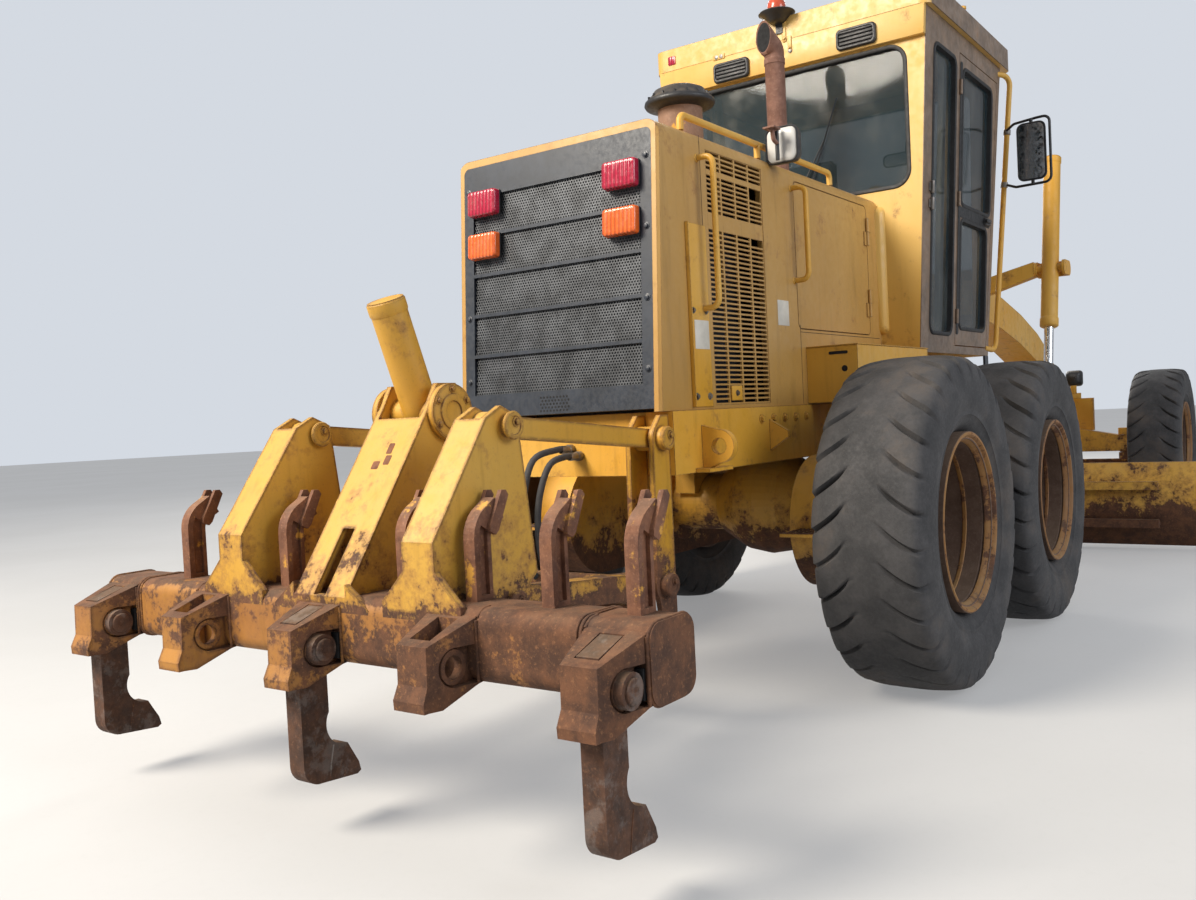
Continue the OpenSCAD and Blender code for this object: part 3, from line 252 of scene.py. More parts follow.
def worn_paint(name, dirt, main=YELLOW, faded=YELLOW_FADED, rust=0.0, low=(0.0, 0.01), edge=0.0,
               gloss=0.42, dust=0.35, top=0.0, right=0.0, sides=None, grain=7.5):
    """Old paint. rust is the share of bare rust all over; below low[1], down to low[0], it grows to most of
    the surface. edge is the width of worn edges in metres. top and right add rust on upward faces and
    towards the machine's right. sides is (foot, half width there, widening per metre) of walls whose
    outer skin is bare brown primer. grain is the scale of the rust patches."""
    s = Shader(name)
    broad = s.noise(1.1, 3, 0.5)
    patch = s.noise(grain, 9, 0.68)
    chips = s.noise(48, 7, 0.72)
    streaks = s.noise(6.0, 6, 0.6, stretch=(3.2, 3.2, 0.32))
    colour = s.mix(s.between(broad, 0.35, 0.68), main, faded)
    colour = s.mix(s.times(s.between(streaks, 0.50, 0.78), dirt), colour, tuple(c * 0.52 for c in main))
    if sides:
        foot, half, widening = sides
        at_z = s.calc("MULTIPLY_ADD", s.height_z(), widening, half - widening * foot)
        skin = s.node("Math", operation="SUBTRACT")
        s.link(s.calc("ABSOLUTE", s.across()), skin.inputs[0])
        s.link(at_z, skin.inputs[1])
        colour = s.mix(s.between(skin.outputs[0], -0.006, -0.003), colour,
                       s.mix(s.between(patch, 0.35, 0.65), PRIMER, tuple(c * 1.7 for c in PRIMER)))
    speck = s.spots(160, 3, 0.5, 0.60, 0.74)
    colour = s.mix(s.times(speck, dirt * 0.5), colour, (0.16, 0.10, 0.05))
    # Rust comes through where the patch noise passes a level that falls near the ground
    depth = s.between(s.height_z(), low[1], low[0])
    level = s.plus(s.times(depth, 0.34), rust * 0.26)
    if top:
        level = s.plus(level, s.times(s.facing_up(0.5, 0.9), top))
    if right:
        level = s.plus(level, s.times(s.between(s.across(), 0.4, -1.2), right))
    field = s.plus(s.times(patch, 0.72), s.times(chips, 0.28))
    field = s.plus(field, level)
    mask = s.between(field, 0.650, 0.705)
    if edge:
        torn = s.times(s.edges(edge), s.between(chips, 0.30, 0.50))
        mask = s.calc("MAXIMUM", mask, torn)
    stain = s.calc("SUBTRACT", s.between(field, 0.560, 0.680), mask)
    colour = s.mix(s.times(stain, 0.60), colour, (0.260, 0.110, 0.030))
    colour = s.mix(mask, colour, rust_colour(s))
    settled = s.times(s.facing_up(0.35, 0.95), s.spots(11, 6, 0.6, 0.30, 0.70))
    colour = s.mix(s.times(settled, dust), colour, DUST)
    s.set(Base_Color=colour)
    s.set(Roughness=s.blend(mask, s.spots(23, 5, 0.6, 0.3, 0.7, gloss - 0.07, gloss + 0.14), 0.86))
    s.bump((s.noise(2.6, 2, 0.5), 0.10, 0.010), (s.noise(420, 2, 0.5), 0.05, 0.0006),
           (s.calc("SUBTRACT", s.times(s.noise(130, 7, 0.7), mask), s.times(mask, 0.35)),
            0.55, 0.0022))
    return s.material


def rusty_steel(name, bright=0.0, paint=0.0, base=(RUST_DARK, RUST_MID, RUST_LIGHT)):
    s = Shader(name)
    colour = rust_colour(s, base)
    patch = s.noise(9, 8, 0.7)
    if paint:
        colour = s.mix(s.between(patch, 0.63 - 0.14 * paint, 0.70 - 0.14 * paint), colour, (0.60, 0.31, 0.05))
    if bright:
        colour = s.mix(s.times(s.between(patch, 0.52, 0.62), bright), colour, (0.30, 0.27, 0.25))
    top = s.times(s.facing_up(0.35, 0.95), 0.15)
    s.set(Base_Color=s.mix(top, colour, DUST), Roughness=s.spots(30, 6, 0.6, 0.3, 0.7, 0.66, 0.90),
          Metallic=0.12)
    s.bump((s.noise(16, 6, 0.65), 0.35, 0.006), (s.noise(150, 8, 0.75), 0.55, 0.0018))
    return s.material


def plain(name, colour, rough, metal=0.0, vary=0.25, bump=0.15, **more):
    """One colour with soft blotches, fine grain and dust, for small fittings."""
    s = Shader(name)
    dark = tuple(c * (1 - vary) for c in colour)
    light = tuple(min(1.0, c * (1 + vary)) for c in colour)
    mixed = s.mix(s.spots(12, 6, 0.6, 0.32, 0.68), dark, light)
    top = s.times(s.facing_up(0.4, 0.95), s.spots(14, 5, 0.6, 0.35, 0.7, 0.0, 0.35))
    s.set(Base_Color=s.mix(top, mixed, DUST), Metallic=metal)
    s.set(Roughness=s.spots(60, 5, 0.6, 0.3, 0.7, max(0.03, rough - 0.08), min(1.0, rough + 0.12)))
    s.bump((s.noise(360, 4, 0.6), bump, 0.0010))
    s.set(**more)
    return s.material


def rubber(name, dusty=0.5):
    s = Shader(name)
    blotch = s.noise(5, 8, 0.68)
    fine = s.noise(70, 6, 0.7)
    colour = s.mix(s.between(blotch, 0.34, 0.66), (0.027, 0.027, 0.029), (0.058, 0.056, 0.058))
    colour = s.mix(s.times(s.spots(2.6, 9, 0.72, 0.50, 0.68), dusty), colour, (0.095, 0.074, 0.058))
    colour = s.mix(s.times(s.between(fine, 0.58, 0.74), 0.35), colour, (0.13, 0.12, 0.11))
    s.set(Base_Color=colour, Roughness=s.between(fine, 0.3, 0.7, 0.70, 0.92))
    cracks = s.node("TexVoronoi", feature="DISTANCE_TO_EDGE")
    cracks.inputs["Scale"].default_value = 34
    s.link(s.coords, cracks.inputs["Vector"])
    nicks = s.between(cracks.outputs["Distance"], 0.0, 0.03)
    s.bump((s.noise(24, 8, 0.72), 0.30, 0.0045), (nicks, 0.10, 0.0012), (s.noise(220, 6, 0.7), 0.35, 0.0010))
    return s.material


def glass(name, tint, opacity):
    s = Shader(name)
    grime = s.spots(3.4, 7, 0.65, 0.42, 0.80, 0.0, 0.30)
    s.set(Base_Color=s.mix(grime, tint, (0.34, 0.32, 0.27)), Roughness=s.blend(grime, 0.04, 0.45))
    s.set(Alpha=s.blend(grime, opacity, min(1.0, opacity + 0.25)), IOR=1.5, Specular_IOR_Level=0.28)
    s.bump((s.noise(1.6, 2, 0.4), 0.04, 0.004))
    return s.material


def lens(name, colour):
    """Ribbed plastic lens: upright ribs 9 mm apart across the machine."""
    s = Shader(name)
    w = s.node("TexWave", wave_type="BANDS", bands_direction="Y", wave_profile="SIN")
    w.inputs["Scale"].default_value = 17.5
    s.link(s.coords, w.inputs["Vector"])
    ribs = s.mix(s.between(w.outputs["Fac"], 0.2, 0.8), tuple(c * 0.62 for c in colour), colour)
    s.set(Base_Color=s.mix(s.spots(8, 6, 0.6, 0.5, 0.8, 0, 0.25), ribs, DUST),
          Roughness=s.spots(40, 4, 0.6, 0.3, 0.7, 0.14, 0.34), Coat_Weight=0.3)
    s.bump((w.outputs["Fac"], 0.55, 0.0030))
    return s.material


def chrome(name):
    s = Shader(name)
    smear = s.noise(7, 6, 0.6, stretch=(1, 1, 4))
    s.set(Base_Color=s.mix(s.between(smear, 0.55, 0.8, 0, 0.6), (0.74, 0.75, 0.77), (0.24, 0.20, 0.16)),
          Metallic=1.0, Roughness=s.between(smear, 0.3, 0.8, 0.10, 0.38))
    s.bump((s.noise(300, 3, 0.5), 0.05, 0.0005))
    return s.material


def cloth(name):
    s = Shader(name)
    w1 = s.node("TexWave", wave_type="BANDS", bands_direction="Y")
    w2 = s.node("TexWave", wave_type="BANDS", bands_direction="DIAGONAL")
    for w, scale in ((w1, 90), (w2, 110)):
        w.inputs["Scale"].default_value = scale
        s.link(s.coords, w.inputs["Vector"])
    weave = s.times(w1.outputs["Fac"], w2.outputs["Fac"])
    colour = s.mix(weave, (0.030, 0.031, 0.034), (0.075, 0.076, 0.080))
    s.set(Base_Color=s.mix(s.spots(6, 6, 0.6, 0.45, 0.8, 0, 0.5), colour, (0.17, 0.14, 0.11)),
          Roughness=0.92, Sheen_Weight=0.3)
    s.bump((weave, 0.4, 0.0010), (s.noise(9, 3, 0.5), 0.25, 0.006))
    return s.material


def floor_material():
    s = Shader("floor_concrete")
    broad = s.noise(0.35, 5, 0.6)
    fine = s.noise(26, 6, 0.7)
    colour = s.mix(s.between(broad, 0.3, 0.7), (0.335, 0.330, 0.320), (0.370, 0.366, 0.360))
    s.set(Base_Color=s.mix(s.between(fine, 0.5, 0.75, 0, 0.2), colour, (0.285, 0.28, 0.265)), Roughness=0.85)
    # The camera and glossy rays see a paler floor, which keeps its shadows
    seen = s.node("LightPath")
    by_eye = s.calc("MAXIMUM", seen.outputs["Is Camera Ray"], seen.outputs["Is Glossy Ray"])
    s.set(Emission_Color=(0.97, 0.98, 1.0, 1.0), Emission_Strength=s.times(by_eye, 0.27))
    s.bump((fine, 0.12, 0.002))
    return s.material


CAB_FLOOR, CAB_EAVES = 1.430, 3.185
CAB_HALF, CAB_HALF_TOP = 0.690, 0.790
CAB_WIDENS = (CAB_HALF_TOP - CAB_HALF) / (CAB_EAVES - CAB_FLOOR)

PAINT = worn_paint("paint_hood", dirt=0.30, rust=0.04, edge=0.005)
# Hood paint: the yellow darkened to how it looks in shade (painted shade), with more dirt streaks
PAINT_HOOD_SHADED = worn_paint("paint_hood_shaded", main=(0.430, 0.235, 0.055), faded=(0.500, 0.290, 0.085), dirt=0.40,
                        rust=0.05, edge=0.004)
PAINT_CAB = worn_paint("paint_cab", main=(0.650, 0.360, 0.055), faded=(0.680, 0.430, 0.110), dirt=0.22, edge=0.004,
                       sides=(CAB_FLOOR, CAB_HALF, CAB_WIDENS))
PAINT_ROOF = worn_paint("paint_roof", main=(0.640, 0.365, 0.075), faded=(0.660, 0.430, 0.130), dirt=0.25, edge=0.004,
                        sides=(CAB_EAVES, CAB_HALF_TOP + 0.030, 0.0))
PAINT_FRAME = worn_paint("paint_frame", rust=0.12, low=(0.25, 0.85), dirt=0.45, edge=0.006, gloss=0.5)
PAINT_TOWER = worn_paint("paint_tower", main=(0.540, 0.275, 0.022), faded=(0.570, 0.325, 0.050), rust=0.14,
                         low=(0.22, 1.05), dirt=0.50, edge=0.020, gloss=0.5, dust=0.20)
PAINT_BEAM = worn_paint("paint_beam", main=(0.400, 0.180, 0.022), faded=(0.320, 0.135, 0.040), rust=0.58, dirt=0.85,
                        edge=0.024, gloss=0.6, dust=0.12, top=0.13, right=0.13, grain=5.0)
PAINT_BLADE = worn_paint("paint_blade", rust=0.45, low=(0.02, 0.50), dirt=0.6, edge=0.010, gloss=0.6)
RIM_STEEL = rusty_steel("rim_steel", base=((0.105, 0.062, 0.043), (0.150, 0.095, 0.068), (0.210, 0.140, 0.100)))
PAINT_RIM = worn_paint("paint_rim", main=(0.290, 0.145, 0.036), faded=(0.230, 0.110, 0.040), rust=0.50,
                       dirt=0.7, gloss=0.6)
RUST = rusty_steel("rust_shank", bright=0.25,
                   base=((0.045, 0.022, 0.014), (0.105, 0.046, 0.024), (0.190, 0.090, 0.045)))
RUST_SCARIFIER = rusty_steel("rust_scarifier", paint=0.30,
                             base=((0.115, 0.048, 0.028), (0.230, 0.100, 0.052), (0.340, 0.165, 0.090)))
RUST_CLEANER = rusty_steel("rust_cleaner", paint=0.20,
                           base=((0.220, 0.125, 0.080), (0.290, 0.170, 0.110), (0.350, 0.220, 0.150)))
RUST_STACK = rusty_steel("rust_stack", base=((0.155, 0.075, 0.052), (0.250, 0.130, 0.095), (0.330, 0.190, 0.140)))
RUBBED = plain("rubbed_primer", (0.150, 0.055, 0.025), 0.85, vary=0.4, bump=0.4)
BARE = rusty_steel("bare_edge_steel", bright=0.9)
BLACK = plain("black_paint_grille", (0.022, 0.028, 0.040), 0.42, vary=0.2, bump=0.08)
BLACK_PLASTIC = plain("black_plastic", (0.018, 0.018, 0.020), 0.45, bump=0.25)
# Near-black: painted shade in holes, slots and behind the louvres; also the hood seams, the soot in the exhaust and
# the pin keepers
DARK_INSIDE = plain("dark_core", (0.008, 0.008, 0.009), 0.85)
MESH_STEEL = plain("mesh_steel", (0.075, 0.080, 0.088), 0.46, metal=0.35, vary=0.35)
STEEL = plain("fitting_steel", (0.22, 0.20, 0.18), 0.42, metal=0.75, vary=0.4)
RUBBER = rubber("tyre_rubber")
HOSE = rubber("hose_rubber", dusty=0.25)
GASKET = plain("window_gasket", (0.016, 0.016, 0.017), 0.6)
GLASS = glass("window_glass", (0.030, 0.048, 0.056), 0.52)
LAMP_WHITE = plain("lamp_reflector", (0.80, 0.79, 0.77), 0.20, vary=0.06, bump=0.05, Coat_Weight=0.5)
LAMP_GLASS = glass("lamp_glass", (0.84, 0.84, 0.82), 0.70)
BEACON = plain("beacon_dome", (0.50, 0.075, 0.030), 0.22, vary=0.2, bump=0.05, Coat_Weight=0.4)
CREAM = plain("cream_trim", (0.62, 0.58, 0.40), 0.55, vary=0.1)
RED = lens("lens_red", (0.42, 0.012, 0.045))
AMBER = lens("lens_amber", (0.78, 0.135, 0.020))
CHROME = chrome("chrome_rod")
MIRROR = plain("mirror_face", (0.62, 0.64, 0.66), 0.06, metal=1.0, vary=0.05, bump=0.0)
CLOTH = cloth("cushion_cloth")
PLATE = plain("blank_plate", (0.62, 0.58, 0.50), 0.5, vary=0.12)


# ---- pieces

def _basis(axis):
    z = Vector(axis).normalized()
    x = z.orthogonal().normalized()
    return x, z.cross(x), z


class Piece:
    """Gathers simple solids into one mesh, which then rides on a body."""

    def __init__(self, name, material, slot, body="chassis", bevel=0.0, smooth=40):
        self.name, self.body, self.material, self.slot = name, body, material, slot
        self.bevel, self.smooth = bevel, smooth
        self.bm = bmesh.new()

    def _face(self, verts):
        try:
            self.bm.faces.new(verts)
        except ValueError:      # the same face again, or a corner used twice
            pass

    def rings(self, rings, caps=True):
        """Skins a list of rings of points, each with as many points."""
        rows = [[self.bm.verts.new(p) for p in ring] for ring in rings]
        for a, b in zip(rows, rows[1:]):
            n = len(a)
            for i in range(n):
                self._face((a[i], a[(i + 1) % n], b[(i + 1) % n], b[i]))
        if caps:
            self._face(rows[0][::-1])
            self._face(rows[-1])
        return self

    def box(self, low, high, turn=None):
        pts = [Vector((x, y, z)) for z in (low[2], high[2])
               for x, y in ((low[0], low[1]), (high[0], low[1]), (high[0], high[1]), (low[0], high[1]))]
        if turn:
            c = (Vector(low) + Vector(high)) / 2
            pts = [c + turn @ (p - c) for p in pts]
        return self.rings([pts[:4], pts[4:]])

    def cylinder(self, a, b, r, n=24):
        x, y, _ = _basis(b - a)
        return self.rings([[c + r * (x * u + y * v) for u, v in turns(n)] for c in (a, b)])

    def lathe(self, centre, axis, profile, n):
        """profile is a list of (radius, distance along the axis)."""
        x, y, z = _basis(axis)
        return self.rings([[centre + z * d + max(r, THIN) * (x * u + y * v) for u, v in turns(n)]
                           for r, d in profile], caps=False)

    def tube(self, points, r, n, closed=False):
        """Round bar through points, its frame carried along without twist."""
        rings, x = [], None
        for i, p in enumerate(points):
            before = points[i - 1] if (i or closed) else p
            after = points[(i + 1) % len(points)] if (i < len(points) - 1 or closed) else p
            z = (after - before).normalized()
            x = z.orthogonal().normalized() if x is None else (x - z * x.dot(z)).normalized()
            y = z.cross(x)
            rings.append([p + r * (x * u + y * v) for u, v in turns(n)])
        if closed:
            rings.append(rings[0])
        return self.rings(rings, caps=not closed)

    def prism(self, outline, place, depth):
        """outline is a list of (a, b); place turns (a, b, d) into a point; depth is (start, end)."""
        return self.rings([[place(a, b, d) for a, b in outline] for d in depth])

    def oblong(self, place, sections):
        """Rounded oblong about the middle; sections are (depth, half width, half height, corner radius)."""
        return self.rings([[place(a, b, d) for a, b in rounded_rect((-w, -h), (w, h), r)] for d, w, h, r in sections])

    def panel(self, place, low, high, r, steps):
        """Rounded panel between two corners; steps are (depth, inset from the outline)."""
        return self.rings([[place(a, b, d) for a, b in
                            rounded_rect((low[0] + e, low[1] + e), (high[0] - e, high[1] - e), r)]
                           for d, e in steps])

    def bolt(self, p, axis, r, h):
        z = Vector(axis).normalized()
        self.cylinder(p, p + z * h * 0.3, r * 1.55, 16)
        return self.cylinder(p + z * h * 0.3, p + z * h * 1.3, r, 6)

    def done(self):
        bmesh.ops.remove_doubles(self.bm, verts=self.bm.verts, dist=1e-6)
        bmesh.ops.recalc_face_normals(self.bm, faces=self.bm.faces)
        piece = add_object(self.name, to_mesh(self.bm, self.name))
        piece.data.materials.append(self.material)
        if self.bevel:
            edge = piece.modifiers.new("edges", "BEVEL")
            edge.width = self.bevel
            edge.segments = 2
            edge.limit_method = "ANGLE"
            edge.angle_limit = math.radians(40)
            apply_modifiers(piece)
        shade(piece.data, self.smooth)
        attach(piece, self.body)
        return piece


def apply_modifiers(piece):
    deps = bpy.context.evaluated_depsgraph_get()
    mesh = bpy.data.meshes.new_from_object(piece.evaluated_get(deps))
    piece.modifiers.clear()
    piece.data = mesh


def shade(mesh, angle):
    for p in mesh.polygons:
        p.use_smooth = True
    mesh.set_sharp_from_angle(angle=math.radians(angle))


def arc(centre, r, start, end, n):
    """Points on an arc in a plane, as (a, b) pairs; angles in degrees."""
    return [(centre[0] + r * math.cos(math.radians(start + (end - start) * i / n)),
             centre[1] + r * math.sin(math.radians(start + (end - start) * i / n))) for i in range(n + 1)]


def round_corners(points, r, n):
    """A path through points with its corners turned into arcs."""
    path = [points[0]]
    for before, p, after in zip(points, points[1:], points[2:]):
        a, b = (before - p).normalized(), (after - p).normalized()
        half = a.angle(b) / 2
        cut = min(r / math.tan(half), 0.48 * (before - p).length, 0.48 * (after - p).length)
        reach = cut * math.tan(half)
        centre = p + (a + b).normalized() * math.hypot(cut, reach)
        u, v = p + a * cut - centre, p + b * cut - centre
        turn = u.angle(v)
        for i in range(n + 1):
            t = i / n
            path.append(centre + (u * math.sin((1 - t) * turn) + v * math.sin(t * turn)) / math.sin(turn))
    return path + [points[-1]]


def rounded_rect(low, high, r, n=5):
    (a0, b0), (a1, b1) = low, high
    return (arc((a1 - r, b1 - r), r, 0, 90, n) + arc((a0 + r, b1 - r), r, 90, 180, n)
            + arc((a0 + r, b0 + r), r, 180, 270, n) + arc((a1 - r, b0 + r), r, 270, 360, n))


SIDES = (("left", 1), ("right", -1))
UP = Vector((0, 0, 1))
THIN = 1e-4             # least radius of a turned ring, so that its points stay apart

# ---- tyres

TYRE_R = 0.680
TREAD_LUGS = 30
TREAD_STEPS = 20         # rows of the mesh for each lug
# Half section from the crown to the bead: (radius, half width, share of the groove's depth)
TYRE_SECTION = [(0.6800, 0.000, 0.00), (0.6800, 0.030, 0.00), (0.6798, 0.055, 0.05), (0.6794, 0.075, 0.40),
                (0.6786, 0.095, 0.85), (0.6774, 0.115, 1.00), (0.6756, 0.136, 1.00), (0.6730, 0.155, 1.00),
                (0.6690, 0.172, 1.00), (0.6630, 0.187, 1.00), (0.6530, 0.199, 1.00), (0.6400, 0.2065, 0.90),
                (0.6240, 0.2105, 0.55), (0.6070, 0.2130, 0.18), (0.5880, 0.2160, 0.00), (0.5600, 0.2185, 0.00),
                (0.5350, 0.2195, 0.00), (0.5050, 0.2190, 0.00), (0.4780, 0.2150, 0.00), (0.4600, 0.2080, 0.00),
                (0.4450, 0.2030, 0.00), (0.4420, 0.2045, 0.00), (0.4340, 0.2040, 0.00), (0.4310, 0.1990, 0.00),
                (0.4120, 0.1920, 0.00), (0.3950, 0.1820, 0.00), (0.3800, 0.1700, 0.00), (0.3690, 0.1570, 0.00),
                (0.3670, 0.1500, 0.00)]
GROOVE_DEEP = 0.022
GROOVE_WIDE = 0.13       # share of the lug pitch
SCALLOP = 0.0075         # how far a worn lug's trailing edge has sunk


def groove_depth(phase):
    """Depth at a phase between two grooves: a narrow cut at 0, then a worn slope up to the next cut."""
    near = min(phase, 1 - phase) / (0.5 * GROOVE_WIDE)
    return GROOVE_DEEP * max(0.0, 1 - near ** 4) + SCALLOP * (1 - phase) ** 2


def tyre_mesh():
    """The mesh rows follow the slanted grooves, so that their walls stay clean."""
    random.seed(11)
    count = TREAD_LUGS * TREAD_STEPS
    pitch = 2 * math.pi / TREAD_LUGS
    wear = [random.uniform(0.6, 1.1) for _ in range(TREAD_LUGS * 2)]
    section = [(r, -y, g) for r, y, g in TYRE_SECTION[:0:-1]] + TYRE_SECTION
    bm = bmesh.new()
    rows = []
    for i in range(count):
        ring = []
        for r, y, share in section:
            side = 1 if y > 0 else -1
            phase = i / TREAD_STEPS + (0.5 if side < 0 else 0)
            lug = int(phase) % TREAD_LUGS
            out = min(1.0, max(0.0, abs(y) - 0.050) / 0.150)
            angle = i * 2 * math.pi / count + pitch * (1.15 * out - 0.35 * out * out)
            drop = share * wear[lug + (TREAD_LUGS if side < 0 else 0)] * groove_depth(phase % 1.0)
            rough = 0.0012 * (noise.noise(Vector((math.cos(angle) * 3.1, math.sin(angle) * 3.1, y * 9))) - 1)
            inward = min(1.0, max(0.0, (0.676 - r) / 0.03))
            rr = r - drop * (1 - 0.62 * inward) + rough
            ring.append(bm.verts.new((rr * math.cos(angle), y - side * drop * 0.8 * inward, rr * math.sin(angle))))
        rows.append(ring)
    for a, b in zip(rows, rows[1:] + rows[:1]):
        for p, q, r, t in zip(a, a[1:], b[1:], b):
            bm.faces.new((p, q, r, t))
        bm.faces.new((a[-1], a[0], b[0], b[-1]))
    bmesh.ops.recalc_face_normals(bm, faces=bm.faces)
    mesh = to_mesh(bm, "tyre")
    mesh.materials.append(RUBBER)
    shade(mesh, 50)
    return mesh


WHEEL_Y = 1.043
WHEEL_BOLTS, BOLT_CIRCLE = 10, 0.188
WHEELS = {"rear": -0.7615, "mid": 0.7615, "front": 6.090}


def add_wheels():
    tyre = tyre_mesh()
    for k, (axle, x) in enumerate(WHEELS.items()):
        for side_name, side in SIDES:
            name = f"{axle}_{side_name}"
            hub = at(x, side * WHEEL_Y, TYRE_R)
            piece = add_object("tread_" + name, tyre)
            piece.matrix_world = Matrix.Translation(hub) @ Matrix.Rotation(math.pi / 2 * k, 4, "Y")
            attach(piece, "wheel_" + name)
            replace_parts(piece, "tyre_" + name)
            out = Vector((0, side, 0))
            trim = Piece("rim_trim_" + name, PAINT_RIM, "rim_paint", "wheel_" + name)
            # Lock ring and its groove inside the outer flange
            trim.lathe(hub, out,
                       [(0.352, 0.186), (0.360, 0.192), (0.3635, 0.199), (0.360, 0.2035), (0.352, 0.203),
                        (0.346, 0.196), (0.343, 0.189), (0.336, 0.186), (0.333, 0.178), (0.3265, 0.172),
                        (0.3245, 0.160)], 72)
            trim.lathe(hub, out, [(0.3250, 0.085), (0.3215, 0.082), (0.3215, 0.070), (0.3250, 0.066)], 72)
            for u, v in turns(WHEEL_BOLTS):
                p = hub + BOLT_CIRCLE * Vector((u, 0, v))
                trim.cylinder(p - out * 0.084, p - out * 0.058, 0.017, 6)
                trim.cylinder(p - out * 0.058, p - out * 0.040, 0.010, 12)
            trim.done()


# ---- hood, grille and lamps

HOOD_HALF = 0.487
HOOD_TOP = 2.250
HOOD_REAR = -1.787
RAIL_TOP = 1.185
GRILLE_TIP = math.atan2(0.070, HOOD_TOP - RAIL_TOP)
GRILLE_TOP = at(HOOD_REAR - 0.070 * 0.030 / (HOOD_TOP - RAIL_TOP), 0, HOOD_TOP - 0.030)
GRILLE_TURN = Matrix.Rotation(GRILLE_TIP, 3, "Y")


def on_grille(depth, y, down):
    """A point on the leaning grille: depth into the machine, y across, and down from its top edge."""
    return GRILLE_TOP + GRILLE_TURN @ Vector((depth, y, -down))


MESH_HALF = 0.409
MESH_PITCH = 0.0125
MESH_HOLE = 0.0044       # radius of a hole
CELLS, CELL_TOP, CELL_PITCH = 5, 0.123, 0.165     # the grille's rows of cells, measured down from its top edge


def perforated(piece, width, top, bottom, depth, shift):
    """Sheet with round holes in offset rows, each hole six-sided, between two heights of the grille."""
    row_step = MESH_PITCH * math.sqrt(3) / 2
    rows = int((bottom - top) / row_step)
    columns = int(2 * width / MESH_PITCH)
    for j in range(rows):
        off = 0.5 * MESH_PITCH * (j % 2)
        for i in range(columns):
            y = -width + MESH_PITCH * (i + 0.5) + off
            if y > width - MESH_PITCH * 0.3:
                continue
            d = top + row_step * (j + 0.5)
            outer, inner, back = [], [], []
            for k in range(6):
                t = math.radians(60 * k + 30)
                a, b = math.cos(t), math.sin(t)
                reach = MESH_PITCH / math.sqrt(3)
                lean = shift * (d + reach * b - top) / (bottom - top)
                outer.append(on_grille(depth + lean, y + reach * a, d + reach * b))
                inner.append(on_grille(depth + lean, y + MESH_HOLE * a, d + MESH_HOLE * b))
                back.append(on_grille(depth + lean + 0.003, y + MESH_HOLE * a, d + MESH_HOLE * b))
            piece.rings([outer, inner, back], caps=False)


def add_grille():
    mesh = Piece("grille_mesh", MESH_STEEL, "black_paint", smooth=30)
    for i in range(CELLS):
        top = CELL_TOP + CELL_PITCH * i
        perforated(mesh, MESH_HALF - 0.002, top - 0.011, top + 0.152, 0.012, -0.006)
    mesh.done()
    lips = Piece("grille_lips", BLACK, "black_paint", bevel=0.0015)
    for i in range(CELLS):
        d = CELL_TOP + CELL_PITCH * i + 0.154
        lips.box(on_grille(0.004, -MESH_HALF, d + 0.004), on_grille(0.016, MESH_HALF, d - 0.002))
    for side in (-1, 1):
        for d in (0.10, 0.36, 0.62, 0.88):
            lips.bolt(on_grille(0, side * 0.434, d), GRILLE_TURN @ Vector((-1, 0, 0)), 0.009, 0.006)
    lips.done()
    # Near-black discs for the holes of the small perforated window: painted shade seen through them
    small = Piece("grille_small_screen_shade", DARK_INSIDE, "black_paint")
    for j in range(5):
        for i in range(9):
            y = 0.066 - 0.016 * i - 0.008 * (j % 2)
            down = 0.960 + 0.013 * j
            small.cylinder(on_grille(-0.0005, y, down), on_grille(0.004, y, down), 0.0046, 8)
    small.done()


def lamp_box(name, material, y, down):
    """Rounded ribbed lens standing on a black base."""
    half_w, half_h = 0.075, 0.0525
    base = Piece("base_" + name, BLACK_PLASTIC, "lamp_lens", bevel=0.003)
    base.prism(rounded_rect((-half_w, -half_h), (half_w, half_h), 0.010),
               lambda a, b, d: on_grille(d, y + a, down + b), (-0.010, -0.001))
    base.prism([(-0.03, -0.04), (0.03, -0.04), (0.03, 0.03), (-0.03, 0.03)],
               lambda a, b, d: on_grille(d, y + a, down - b), (-0.002, 0.030))
    base.done()
    body = Piece("lens_" + name, material, "lamp_lens", smooth=60)
    body.panel(lambda a, b, d: on_grille(d, y + a, down + b), (-half_w, -half_h), (half_w, half_h), 0.012,
               ((-0.010, 0.001), (-0.030, 0.002), (-0.0375, 0.004), (-0.0395, 0.009), (-0.0400, 0.016)))
    body.done()


def lamp(name, slot, body, place, case_steps, bowl_steps, glass_steps, pin):
    """Round-cornered lamp of case, bowl and glass; gives back the case."""
    case = Piece(name % "case", BLACK_PLASTIC, slot, body, smooth=50).oblong(place, case_steps)
    case = case.cylinder(*pin, 12).done()
    Piece(name % "bowl", LAMP_WHITE, "lamp_lens", body, smooth=60).oblong(place, bowl_steps).done()
    Piece(name % "glass", LAMP_GLASS, "glass", body, smooth=60).oblong(place, glass_steps).done()
    return case


